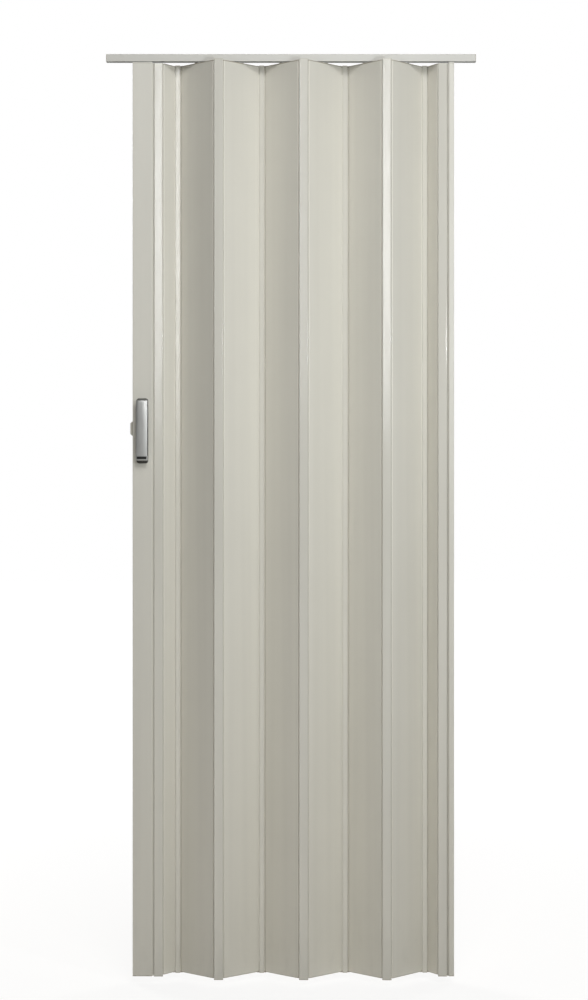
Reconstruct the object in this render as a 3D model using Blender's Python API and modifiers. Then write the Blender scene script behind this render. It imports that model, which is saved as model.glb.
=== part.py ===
"""Top-hung accordion folding door in rigid vinyl, part folded.

Metres, +Z up, +X to the right and +Y away from someone facing the door. The origin is the centre of
the track's top face. The door is a chain of links that starts at the jamb post on the right and ends
at the lead post on the left. Each link carries its own hinge axis at its right end and runs along
its local -X to the next hinge axis.
"""

import math

import bmesh
import bpy
from mathutils import Matrix, Vector

# Overall sizes
TRACK_LENGTH = 0.8128
DOOR_DROP = 2.0275
JAMB_SETBACK = 0.0482

# Widths between hinge axes
PANEL_SPAN = 0.1083
STRIP_SPAN = 0.0130
FULL_PANELS = 6

# Fold of the full panels at rest, in degrees from the plane of the door
FOLD_AT_JAMB = 46.7
FOLD_AT_LEAD = 42.6
FOLD_DIP_MIDWAY = 1.8
SHORT_PANEL_FOLD = 59.0

# Clearances
FIT_GAP = 0.0003
POST_GAP = 0.0011
RUNNING_GAP = 0.0030

# Track
TRACK_HEIGHT = 0.0165
TRACK_DEPTH = 0.0160
TRACK_WALL = 0.0013
TRACK_LIP = 0.0015
TRACK_SLOT = 0.0075
TRACK_CORNER = 0.0008
TRACK_SCREW_RADIUS = 0.0024
TRACK_SCREWS = 4
TRACK_SCREW_INSET = 0.0564

# Gaps below the track, and how far the panels and posts end above the strips' lower ends
PANEL_TOP_GAP = 0.0025
FREE_STRIP_TOP_GAP = 0.0003
HANGER_TOP_GAP = 0.0013
PANEL_FOOT_RISE = 0.0028
POST_FOOT_RISE = 0.0015

# Knuckle joint: a bead on each panel edge, held in a C-shaped socket of the strip
BEAD_RADIUS = 0.0023
NECK_HALF = 0.0007
SOCKET_WALL = 0.0011
SOCKET_OPENS_FROM = 14.0
SOCKET_OPENS_TO = 116.0

# Hinge strip
STRIP_OVERHANG = 0.0035
STRIP_WEB = 0.0015
STRIP_CORNER = 0.0018
STRIP_HOLLOW_WALL = 0.0013

# Panel
PANEL_THICKNESS = 0.0070
PANEL_SKIN = 0.0011
PANEL_RIB = 0.0010
PANEL_CORNER = 0.0024
SHOULDER_START = 0.0044
SHOULDER_WALL = 0.0020
PANEL_CELLS = 7
SHORT_PANEL_CELLS = 3

# Posts
POST_DEPTH = 0.0200
POST_CORNER = 0.0012
LEDGE_REACH = 0.0022
LEDGE_FRONT = 0.0020
LEAD_POST_WIDTH = 0.0430
LEAD_POST_WALL = 0.0018
JAMB_POST_WIDTH = 0.0116
JAMB_POST_WALL = 0.0018
ARM_ANGLE = 45.0
JAMB_SCREW_RADIUS = 0.0024
JAMB_DRIVER_RADIUS = 0.0042
JAMB_SCREWS = 4
JAMB_SCREW_INSET = 0.1500

# Gliders, pins and hangers
GLIDER_LENGTH = 0.0220
GLIDER_HEIGHT = 0.0065
GLIDER_SIDE_GAP = 0.0007
GLIDER_CORNER = 0.0020
GLIDER_STEP = 0.0014
GLIDER_STEP_LENGTH = 0.0040
PIN_RADIUS = 0.0020
PIN_SHANK_RADIUS = 0.0017
PIN_HEAD_RADIUS = 0.0034
PIN_HEAD_HEIGHT = 0.0016
PIN_COLLAR_RADIUS = 0.0031
PIN_COLLAR_HEIGHT = 0.0010
PIN_SHANK_LENGTH = 0.0160
PIN_TURNS_CLEAR = 0.0004
HANGER_PLUG_LENGTH = 0.0280
LEAD_PIN_SPREAD = 0.0240
JAMB_ANCHOR_LENGTH = 0.0300
JAMB_ANCHOR_HEAD = 0.0060

# Pull handles and latch
PULL_CENTRE_DROP = 0.8276
PULL_WIDTH = 0.0243
PULL_HEIGHT = 0.1340
PULL_STANDOFF = 0.0220
PULL_BAR = 0.0062
PULL_LEG = 0.0115
PULL_BEND = 0.0065
PULL_INNER_BEND = 0.0040
PULL_CROWN = 0.0022
PULL_CORNER = 0.0028
BASE_MARGIN = 0.0008
BASE_ABOVE = 0.0036
BASE_BELOW = 0.0050
BASE_THICKNESS = 0.0022
BASE_CORNER = 0.0060
INSET_WIDTH = 0.0208
INSET_HEIGHT = 0.0060
INSET_DEPTH = 0.0024
INSET_RISE = 0.0035
SCREW_RADIUS = 0.0020
SCREW_HEAD_RADIUS = 0.0038
SCREW_HEAD_HEIGHT = 0.0022
SCREW_HEAD_EDGE = 0.0011
SCREW_GRIP_DEPTH = 0.0120
BOLT_CENTRE_DROP = 0.8230
BOLT_HEIGHT = 0.0307
BOLT_THICKNESS = 0.0050
BOLT_REACH = 0.0055
BOLT_LENGTH = 0.0345
BOLT_CORNER = 0.0035
BOLT_TRAVEL = 0.0055
THUMB_WIDTH = 0.0060
THUMB_HEIGHT = 0.0100
THUMB_PROUD = 0.0048
THUMB_SETBACK = 0.0205
THUMB_EDGE = 0.0008
BLOCK_HEIGHT = 0.1460

# Facets
BEAD_STEPS = 18
SOCKET_STEPS = 16
HOLE_STEPS = 16
CORNER_STEPS = 4
FLAT_WITHIN = math.radians(0.2)

# Sizes worked out from the ones above
SOCKET_RADIUS = BEAD_RADIUS + FIT_GAP
SOCKET_OUTER = SOCKET_RADIUS + SOCKET_WALL
WEB_FACE = SOCKET_OUTER + STRIP_WEB
TRACK_HALF_INSIDE = TRACK_DEPTH / 2 - TRACK_WALL
LIP_TOP = -TRACK_HEIGHT + TRACK_LIP
GLIDER_BASE = LIP_TOP + FIT_GAP
GLIDER_WIDTH = 2 * (TRACK_HALF_INSIDE - GLIDER_SIDE_GAP)
PIN_HEAD_BASE = GLIDER_BASE + GLIDER_HEIGHT / 2
HANGER_TOP = -TRACK_HEIGHT - HANGER_TOP_GAP
COLLAR_BASE = HANGER_TOP + FIT_GAP
PANEL_TOP = -TRACK_HEIGHT - PANEL_TOP_GAP
FREE_STRIP_TOP = -TRACK_HEIGHT - FREE_STRIP_TOP_GAP
POST_TOP = -TRACK_HEIGHT - RUNNING_GAP
STRIP_FOOT = -DOOR_DROP
POST_FOOT = STRIP_FOOT + POST_FOOT_RISE
PANEL_FOOT = STRIP_FOOT + PANEL_FOOT_RISE
LEDGE_EDGE = STRIP_OVERHANG + POST_GAP
POST_FACE = LEDGE_EDGE + LEDGE_REACH
POST_HALF_DEPTH = POST_DEPTH / 2
JAMB_SCREW_SETBACK = POST_DEPTH / 10
JAMB_HINGE_X = TRACK_LENGTH / 2 - JAMB_SETBACK - JAMB_POST_WIDTH - POST_FACE
LEAD_POST_CENTRE = -POST_FACE - LEAD_POST_WIDTH / 2
LEAD_EDGE = -POST_FACE - LEAD_POST_WIDTH
BASE_BACK = POST_HALF_DEPTH + FIT_GAP
BASE_FRONT = BASE_BACK + BASE_THICKNESS
PULL_FOOT = BASE_FRONT + FIT_GAP
PULL_FACE = PULL_FOOT + PULL_STANDOFF
SCREW_RISE = PULL_HEIGHT / 2 - PULL_LEG / 2
INSET_FLOOR = PULL_STANDOFF - PULL_CROWN - INSET_DEPTH
SCREW_SEAT = INSET_FLOOR - SCREW_HEAD_HEIGHT - FIT_GAP

# Turns a section drawn in local X and Y into one in world Y and Z, extruded along world X
ALONG_X = Matrix(((0, 0, 1, 0), (1, 0, 0, 0), (0, 1, 0, 0), (0, 0, 0, 1)))

VINYL = (0.72, 0.70, 0.63)
VINYL_ROUGHNESS = 0.38
SATIN_METAL = (0.55, 0.55, 0.54)
DARK_PLASTIC = (0.025, 0.024, 0.022)
NYLON = (0.80, 0.79, 0.74)
STEEL = (0.50, 0.50, 0.50)


def clear_scene():
    for thing in list(bpy.data.objects):
        bpy.data.objects.remove(thing, do_unlink=True)


def new_collection(name):
    collection = bpy.data.collections.new(name)
    bpy.context.scene.collection.children.link(collection)
    return collection


def finish_material(name, colour, roughness, metallic):
    """One Principled material for one piece."""
    material = bpy.data.materials.new(name + "_finish")
    material.use_nodes = True
    shader = material.node_tree.nodes["Principled BSDF"]
    shader.inputs["Base Color"].default_value = (*colour, 1.0)
    shader.inputs["Roughness"].default_value = roughness
    shader.inputs["Metallic"].default_value = metallic
    return material


FINISHES = {
    "vinyl": (VINYL, VINYL_ROUGHNESS, 0.0),
    "satin_metal": (SATIN_METAL, 0.30, 1.0),
    "dark_plastic": (DARK_PLASTIC, 0.45, 0.0),
    "nylon": (NYLON, 0.50, 0.0),
    "steel": (STEEL, 0.35, 1.0),
}


def dress(thing, finish):
    """Gives a piece its own material of the named finish, in place of any that it has."""
    thing.data.materials.clear()
    thing.data.materials.append(finish_material(thing.name, *FINISHES[finish]))
    return thing


def hang(thing, parent, place=(0.0, 0.0, 0.0), turn=(0.0, 0.0, 0.0)):
    """Parents a piece to a frame, at a place and a turn in that frame."""
    thing.parent = parent
    thing.location = place
    thing.rotation_euler = turn
    return thing


def new_frame(name, parent=None, place=(0.0, 0.0, 0.0), turn=0.0):
    """An empty that carries pieces. Its local Z is a hinge axis."""
    frame = bpy.data.objects.new(name, None)
    frame.empty_display_size = 0.02
    PARTS.objects.link(frame)
    hang(frame, parent, place, (0.0, 0.0, turn))
    return frame


def arc(centre, radius, start, end, steps):
    """Points along an arc, angles in degrees, both ends included."""
    points = []
    for i in range(steps + 1):
        angle = math.radians(start + (end - start) * i / steps)
        points.append((centre[0] + radius * math.cos(angle), centre[1] + radius * math.sin(angle)))
    return points


def rounded_box(low, high, radius, steps=CORNER_STEPS):
    """Outline of a rectangle with round corners, or square ones where the radius is 0."""
    if radius == 0:
        return [low, (high[0], low[1]), high, (low[0], high[1])]
    corners = (
        (high[0] - radius, low[1] + radius, -90),
        (high[0] - radius, high[1] - radius, 0),
        (low[0] + radius, high[1] - radius, 90),
        (low[0] + radius, low[1] + radius, 180),
    )
    points = []
    for x, y, start in corners:
        points += arc((x, y), radius, start, start + 90, steps)
    return points


def ring(centre, radius, steps=HOLE_STEPS):
    """A closed circle of points."""
    return arc(centre, radius, 0, 360 - 360 / steps, steps - 1)


def spread(first, last, count):
    """Evenly spaced places from first to last."""
    return [first + (last - first) * i / (count - 1) for i in range(count)]


def mirrored(points, centre_x=0.0):
    """The same points on the other side of a vertical line, in reverse order."""
    return [(2 * centre_x - x, y) for x, y in reversed(points)]


def flipped(loops):
    """The same outlines with front and back exchanged."""
    return [[(x, -y) for x, y in loop] for loop in loops]


def extrusion(name, loops, length):
    """A flat outline with holes, filled on both faces, centred along its local Z."""
    curve = bpy.data.curves.new(name, "CURVE")
    curve.dimensions = "2D"
    curve.fill_mode = "BOTH"
    curve.extrude = length / 2
    for loop in loops:
        spline = curve.splines.new("POLY")
        spline.points.add(len(loop) - 1)
        for point, (x, y) in zip(spline.points, loop):
            point.co = (x, y, 0.0, 1.0)
        spline.use_cyclic_u = True
    thing = bpy.data.objects.new(name, curve)
    PARTS.objects.link(thing)
    return thing


def as_mesh(thing):
    """Replaces a curve, or a piece with modifiers, by its evaluated mesh, with the caps welded on."""
    bpy.context.view_layer.update()
    graph = bpy.context.evaluated_depsgraph_get()
    mesh = bpy.data.meshes.new_from_object(thing.evaluated_get(graph))
    shape = bmesh.new()
    shape.from_mesh(mesh)
    bmesh.ops.remove_doubles(shape, verts=shape.verts, dist=0.000001)
    bmesh.ops.recalc_face_normals(shape, faces=shape.faces)
    shape.to_mesh(mesh)
    shape.free()
    name = thing.name
    used = [step.object for step in thing.modifiers if step.type == "BOOLEAN"]
    solid = bpy.data.objects.new(name + "_solid", mesh)
    PARTS.objects.link(solid)
    solid.parent = thing.parent
    solid.matrix_world = thing.matrix_world.copy()
    for spent in [thing] + used:
        bpy.data.objects.remove(spent, do_unlink=True)
    solid.name = name
    mesh.name = name
    return solid


def joined_faces(thing):
    """The finished mesh of a drilled piece, with its flat faces joined up again around the holes."""
    solid = as_mesh(thing)
    shape = bmesh.new()
    shape.from_mesh(solid.data)
    bmesh.ops.dissolve_limit(
        shape,
        angle_limit=FLAT_WITHIN,
        verts=shape.verts,
        edges=shape.edges,
    )
    bmesh.ops.triangulate(shape, faces=shape.faces, ngon_method="BEAUTY")
    shape.to_mesh(solid.data)
    shape.free()
    return solid


def box_shape(low, high):
    """A box between two corners, with its outward faces."""
    shape = bmesh.new()
    bmesh.ops.create_cube(shape, size=1.0)
    size = [high[i] - low[i] for i in range(3)]
    middle = [(high[i] + low[i]) / 2 for i in range(3)]
    shape.transform(Matrix.Translation(middle) @ Matrix.Diagonal((*size, 1.0)))
    return shape


def cutter_box(low, high):
    """A box cutter between two corners, in the frame of the piece that it cuts."""
    return cutter_of(box_shape(low, high), "box_cutter")


def cutter_drill(middle, direction, radius, length):
    """A round cutter along a direction."""
    shape = bmesh.new()
    bmesh.ops.create_cone(
        shape,
        cap_ends=True,
        segments=HOLE_STEPS,
        radius1=radius,
        radius2=radius,
        depth=length,
    )
    turn = Vector((0, 0, 1)).rotation_difference(Vector(direction)).to_matrix().to_4x4()
    shape.transform(Matrix.Translation(middle) @ turn)
    return cutter_of(shape, "drill_cutter")


def cutter_of(shape, name):
    mesh = bpy.data.meshes.new(name)
    shape.to_mesh(mesh)
    shape.free()
    cutter = bpy.data.objects.new(name, mesh)
    CUTTERS.objects.link(cutter)
    cutter.hide_render = True
    cutter.display_type = "WIRE"
    return cutter


def combine(thing, others, operation="DIFFERENCE"):
    """Cuts, joins or intersects a mesh piece with others that lie in the same frame."""
    for other in others:
        other.parent = thing.parent
        other.matrix_world = thing.matrix_world.copy()
        step = thing.modifiers.new(operation.lower(), "BOOLEAN")
        step.operation = operation
        step.solver = "EXACT"
        step.object = other
    return thing


def block(name, low, high):
    """A plain box piece between two corners, as a mesh at the origin."""
    shape = box_shape(low, high)
    mesh = bpy.data.meshes.new(name)
    shape.to_mesh(mesh)
    shape.free()
    thing = bpy.data.objects.new(name, mesh)
    PARTS.objects.link(thing)
    return thing


def turned(name, profile, steps=HOLE_STEPS):
    """A turned piece from a profile that runs down its outer side, radius first."""
    mesh = bpy.data.meshes.new(name)
    edges = [(i, i + 1) for i in range(len(profile) - 1)]
    mesh.from_pydata([(r, 0.0, z) for r, z in profile], edges, [])
    thing = bpy.data.objects.new(name, mesh)
    PARTS.objects.link(thing)
    screw = thing.modifiers.new("turn", "SCREW")
    screw.axis = "Z"
    screw.angle = math.radians(360)
    screw.steps = steps
    screw.render_steps = steps
    screw.use_merge_vertices = True
    screw.merge_threshold = 0.00001
    screw.use_smooth_shade = True
    return thing


def copy_of(thing, name):
    """Another object that shares a finished mesh's shape but has its own material."""
    other = bpy.data.objects.new(name, thing.data.copy())
    PARTS.objects.link(other)
    return other


def bead(towards):
    """Outline of a knuckle bead at the origin, open where its neck leaves at the angle towards."""
    half = math.degrees(math.asin(NECK_HALF / BEAD_RADIUS))
    return arc((0.0, 0.0), BEAD_RADIUS, towards + half, towards + 360 - half, BEAD_STEPS)


def strip_outline():
    """Section of a hinge strip: web in front, sockets at x = 0 and x = -STRIP_SPAN, open to the back."""
    centre = -STRIP_SPAN / 2
    lip = math.radians(SOCKET_OPENS_FROM)
    tip = math.radians(SOCKET_OPENS_TO)
    half = arc(
        (STRIP_OVERHANG - STRIP_CORNER, -WEB_FACE + STRIP_CORNER), STRIP_CORNER, -90, 0, CORNER_STEPS
    )
    half.append((STRIP_OVERHANG, STRIP_OVERHANG * math.tan(lip)))
    half += arc(
        (0.0, 0.0), SOCKET_RADIUS, SOCKET_OPENS_FROM, SOCKET_OPENS_TO - 360, SOCKET_STEPS
    )
    half.append((SOCKET_OUTER / math.tan(tip), SOCKET_OUTER))
    outline = half + mirrored(half, centre)
    reach = SOCKET_RADIUS + STRIP_HOLLOW_WALL
    front = SOCKET_OUTER
    back = SOCKET_OUTER - STRIP_HOLLOW_WALL
    side = arc(
        (0.0, 0.0),
        reach,
        180 + math.degrees(math.asin(front / reach)),
        180 - math.degrees(math.asin(back / reach)),
        CORNER_STEPS,
    )
    return [outline, side + mirrored(side, centre)]


def panel_outline(span, cells):
    """Section of a hollow panel from the bead at x = 0 to the bead at x = -span."""
    half_thick = PANEL_THICKNESS / 2
    back = [(-SHOULDER_START, NECK_HALF)]
    back += arc(
        (-SHOULDER_START - PANEL_CORNER, half_thick - PANEL_CORNER), PANEL_CORNER, 0, 90, CORNER_STEPS
    )
    front = [(x, -y) for x, y in reversed(back)]
    near_end = front + bead(180.0) + back
    loops = [near_end + mirrored(near_end, -span / 2)]
    first = -SHOULDER_START - SHOULDER_WALL
    pitch = (span + 2 * first + PANEL_RIB) / cells
    for i in range(cells):
        right = first - i * pitch
        left = right - pitch + PANEL_RIB
        loops.append(
            rounded_box((left, -half_thick + PANEL_SKIN), (right, half_thick - PANEL_SKIN), 0)
        )
    return loops


def cell_width(span, cells):
    """Clear width of one panel cell."""
    inside = span - 2 * (SHOULDER_START + SHOULDER_WALL) + PANEL_RIB
    return inside / cells - PANEL_RIB


def post_outline(width, wall):
    """Section of a hollow post to the right of its bead.

    A ledge on the post's side closes the view between post and strip. The bead stands on an arm
    that leans back and runs out of the ledge.
    """
    lean = math.radians(ARM_ANGLE)
    near, far = POST_FACE, POST_FACE + width
    arm_offset = NECK_HALF / math.sin(lean)
    ledge = [
        (LEDGE_EDGE, (LEDGE_EDGE - arm_offset) * math.tan(lean)),
        (LEDGE_EDGE, -LEDGE_FRONT),
        (near, -LEDGE_FRONT),
    ]
    body = rounded_box((near, -POST_HALF_DEPTH), (far, POST_HALF_DEPTH), POST_CORNER)
    corner = CORNER_STEPS + 1
    near_front = body[3 * corner :]
    rest = body[: 3 * corner]
    arm_top = [(near, (near + arm_offset) * math.tan(lean))]
    loop = bead(ARM_ANGLE) + ledge + near_front + rest + arm_top
    hollow = rounded_box(
        (near + wall, -POST_HALF_DEPTH + wall), (far - wall, POST_HALF_DEPTH - wall), 0
    )
    return [loop, hollow]


def track_outline():
    """Section of the track, seen along it: local X is the door's Y and local Y is its Z."""
    half = TRACK_DEPTH / 2
    slot = TRACK_SLOT / 2
    right = [(slot, -TRACK_HEIGHT)]
    right += arc((half - TRACK_CORNER, -TRACK_HEIGHT + TRACK_CORNER), TRACK_CORNER, -90, 0, 3)
    right += arc((half - TRACK_CORNER, -TRACK_CORNER), TRACK_CORNER, 0, 90, 3)
    inner = [
        (TRACK_HALF_INSIDE, -TRACK_WALL),
        (TRACK_HALF_INSIDE, LIP_TOP),
        (slot, LIP_TOP),
    ]
    left_outer = mirrored(right)
    left_inner = mirrored(inner)
    return [right + left_outer + left_inner + inner]


def build_track():
    track = extrusion("track", track_outline(), TRACK_LENGTH)
    track.matrix_world = ALONG_X
    track = as_mesh(track)
    mesh = track.data
    mesh.transform(track.matrix_world)
    track.matrix_world = Matrix.Identity(4)
    drills = []
    end = TRACK_LENGTH / 2 - TRACK_SCREW_INSET
    for x in spread(-end, end, TRACK_SCREWS):
        drills.append(
            cutter_drill((x, 0.0, -TRACK_WALL / 2), (0, 0, 1), TRACK_SCREW_RADIUS, 3 * TRACK_WALL)
        )
    combine(track, drills)
    dress(track, "vinyl")
    hang(track, HEADER)


def upright(name, loops, low, high, parent, finish="vinyl"):
    """A vertical extrusion between two heights, carried by a link's frame."""
    thing = extrusion(name, loops, high - low)
    hang(thing, parent, (0.0, 0.0, (low + high) / 2))
    return dress(thing, finish)


def build_jamb_post():
    post = upright(
        "jamb_post", post_outline(JAMB_POST_WIDTH, JAMB_POST_WALL), POST_FOOT, POST_TOP, JAMB
    )
    post = settle(post)
    tools = []
    far = POST_FACE + JAMB_POST_WIDTH - JAMB_POST_WALL / 2
    driver = (POST_FACE, JAMB_DRIVER_RADIUS, 2 * (LEDGE_REACH + JAMB_POST_WALL))
    screw = (far, JAMB_SCREW_RADIUS, 3 * JAMB_POST_WALL)
    for z in spread(POST_FOOT + JAMB_SCREW_INSET, POST_TOP - JAMB_SCREW_INSET, JAMB_SCREWS):
        for x, radius, length in (driver, screw):
            tools.append(cutter_drill((x, -JAMB_SCREW_SETBACK, z), (1, 0, 0), radius, length))
    combine(post, tools)
    dress(joined_faces(post), "vinyl")


def settle(thing):
    """Makes an upright a mesh in its parent's own frame, ready for cutters in that frame."""
    place = Matrix.Translation(thing.location)
    parent = thing.parent
    solid = as_mesh(thing)
    solid.data.transform(place)
    hang(solid, parent)
    bpy.context.view_layer.update()
    return solid


def build_jamb_anchor():
    """Block in the top of the jamb post, with a neck through the track's slot and a head on its lips."""
    low_x = POST_FACE + JAMB_POST_WALL + FIT_GAP
    high_x = POST_FACE + JAMB_POST_WIDTH - JAMB_POST_WALL - FIT_GAP
    inside = POST_HALF_DEPTH - JAMB_POST_WALL - FIT_GAP
    neck = TRACK_SLOT / 2 - FIT_GAP
    head = TRACK_HALF_INSIDE - FIT_GAP
    anchor = block(
        "jamb_anchor",
        (low_x, -inside, POST_TOP - JAMB_ANCHOR_LENGTH),
        (high_x, inside, POST_TOP + 2 * FIT_GAP),
    )
    hang(anchor, JAMB)
    flange = cutter_box(
        (POST_FACE, -POST_HALF_DEPTH, POST_TOP + FIT_GAP),
        (POST_FACE + JAMB_POST_WIDTH, POST_HALF_DEPTH, HANGER_TOP),
    )
    stem = cutter_box((low_x, -neck, POST_TOP), (high_x, neck, GLIDER_BASE + FIT_GAP))
    cap = cutter_box(
        (POST_FACE, -head, GLIDER_BASE),
        (POST_FACE + JAMB_POST_WIDTH, head, GLIDER_BASE + JAMB_ANCHOR_HEAD),
    )
    bpy.context.view_layer.update()
    combine(anchor, [flange, stem, cap], "UNION")
    dress(anchor, "nylon")


def pin_profile():
    """Headed pin, local Z = 0 at the underside of the collar."""
    head_top = PIN_HEAD_BASE + PIN_HEAD_HEIGHT - COLLAR_BASE
    head_base = PIN_HEAD_BASE - COLLAR_BASE
    soften = PIN_HEAD_HEIGHT / 3
    return [
        (0.0, head_top),
        (PIN_HEAD_RADIUS - soften, head_top),
        (PIN_HEAD_RADIUS, head_top - soften),
        (PIN_HEAD_RADIUS, head_base),
        (PIN_RADIUS, head_base),
        (PIN_RADIUS, PIN_COLLAR_HEIGHT),
        (PIN_COLLAR_RADIUS, PIN_COLLAR_HEIGHT),
        (PIN_COLLAR_RADIUS, 0.0),
        (PIN_SHANK_RADIUS, 0.0),
        (PIN_SHANK_RADIUS, -PIN_SHANK_LENGTH),
        (0.0, -PIN_SHANK_LENGTH),
    ]


def glider_master():
    """Shoe on the track's lips, with a stepped hole for the pin. Its origin is on the pin's axis."""
    half_length, half_width = GLIDER_LENGTH / 2, GLIDER_WIDTH / 2
    plan = rounded_box((-half_length, -half_width), (half_length, half_width), GLIDER_CORNER)
    shoe = extrusion("glider_blank", [plan], GLIDER_HEIGHT)
    hang(shoe, None, (0.0, 0.0, GLIDER_BASE + GLIDER_HEIGHT / 2))
    shoe = settle(shoe)
    seat = PIN_HEAD_BASE - FIT_GAP
    top = GLIDER_BASE + GLIDER_HEIGHT
    clear = PIN_HEAD_RADIUS + PIN_TURNS_CLEAR
    hole = cutter_drill((0, 0, GLIDER_BASE), (0, 0, 1), PIN_RADIUS + PIN_TURNS_CLEAR, 3 * GLIDER_HEIGHT)
    recess = cutter_drill((0, 0, seat + GLIDER_HEIGHT), (0, 0, 1), clear, 2 * GLIDER_HEIGHT)
    step_x = half_length - GLIDER_STEP_LENGTH
    reliefs = []
    for low_x, high_x in ((step_x, GLIDER_LENGTH), (-GLIDER_LENGTH, -step_x)):
        reliefs.append(
            cutter_box(
                (low_x, -GLIDER_WIDTH, top - GLIDER_STEP), (high_x, GLIDER_WIDTH, top + GLIDER_STEP)
            )
        )
    combine(shoe, [hole, recess] + reliefs)
    return as_mesh(shoe)


def hanger_master():
    """Plug for a panel's middle cell, with a flange on the panel's top edge and a bore for the pin."""
    half_x = cell_width(PANEL_SPAN, PANEL_CELLS) / 2 - FIT_GAP
    half_y = PANEL_THICKNESS / 2 - PANEL_SKIN - FIT_GAP
    top = HANGER_TOP
    seat = PANEL_TOP + FIT_GAP
    plug = block(
        "hanger_blank", (-half_x, -half_y, seat - HANGER_PLUG_LENGTH), (half_x, half_y, seat)
    )
    flange_x = half_x + PANEL_RIB
    flange_y = PANEL_THICKNESS / 2
    flange = cutter_box((-flange_x, -flange_y, seat), (flange_x, flange_y, top))
    bore = cutter_drill(
        (0, 0, top - PIN_SHANK_LENGTH / 2),
        (0, 0, 1),
        PIN_SHANK_RADIUS + FIT_GAP,
        PIN_SHANK_LENGTH + 2 * FIT_GAP + PIN_COLLAR_HEIGHT,
    )
    combine(plug, [flange], "UNION")
    combine(plug, [bore])
    return as_mesh(plug)


def build_hanging_set(number, masters, frame, place, back_turn):
    """Hanger, pin and swivelling glider at the middle of one panel."""
    hanger = dress(copy_of(masters["hanger"], f"panel_hanger_{number}"), "nylon")
    hang(hanger, frame, place)
    add_pin_and_glider(f"hanger_pin_{number}", f"glider_{number}", masters, frame, place, back_turn)


def add_pin_and_glider(pin_name, glider_name, masters, frame, place, back_turn):
    pin = dress(copy_of(masters["pin"], pin_name), "steel")
    hang(pin, frame, (place[0], place[1], COLLAR_BASE))
    swivel = new_frame(glider_name + "_swivel", frame, place, back_turn)
    glider = dress(copy_of(masters["glider"], glider_name), "nylon")
    hang(glider, swivel)


def build_lead_post(frame):
    outline = post_outline(LEAD_POST_WIDTH, LEAD_POST_WALL)
    loops = [mirrored(loop) for loop in outline]
    post = upright("lead_post", loops, POST_FOOT, POST_TOP, frame)
    post = settle(post)
    cuts = [bolt_window(LEAD_EDGE - LEAD_POST_WALL, LEAD_EDGE + 2 * LEAD_POST_WALL)]
    for side in (-1, 1):
        cuts.append(thumb_window(side, POST_HALF_DEPTH - 2 * LEAD_POST_WALL, 2 * POST_HALF_DEPTH))
    cuts += screw_drills(SCREW_RADIUS + FIT_GAP, 2 * POST_DEPTH)
    combine(post, cuts)
    dress(joined_faces(post), "vinyl")


def bolt_window(low_x, high_x):
    """Passage for the bolt between two places along the post's width."""
    half_z = BOLT_HEIGHT / 2 + FIT_GAP
    half_y = BOLT_THICKNESS / 2 + FIT_GAP
    return cutter_box(
        (low_x, -half_y, -BOLT_CENTRE_DROP - half_z), (high_x, half_y, -BOLT_CENTRE_DROP + half_z)
    )


def thumb_window(side, near, far):
    """Slot for a thumb tab through a wall, long enough for the bolt's travel."""
    left = LEAD_EDGE + THUMB_SETBACK - THUMB_WIDTH / 2 - FIT_GAP
    right = LEAD_EDGE + THUMB_SETBACK + THUMB_WIDTH / 2 + BOLT_TRAVEL + FIT_GAP
    half_z = THUMB_HEIGHT / 2 + FIT_GAP
    low_y, high_y = sorted((side * near, side * far))
    return cutter_box(
        (left, low_y, -BOLT_CENTRE_DROP - half_z), (right, high_y, -BOLT_CENTRE_DROP + half_z)
    )


def screw_heights():
    return (-PULL_CENTRE_DROP + SCREW_RISE, -PULL_CENTRE_DROP - SCREW_RISE)


def screw_drills(radius, length, middle_y=0.0):
    return [
        cutter_drill((LEAD_POST_CENTRE, middle_y, z), (0, 1, 0), radius, length)
        for z in screw_heights()
    ]


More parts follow.
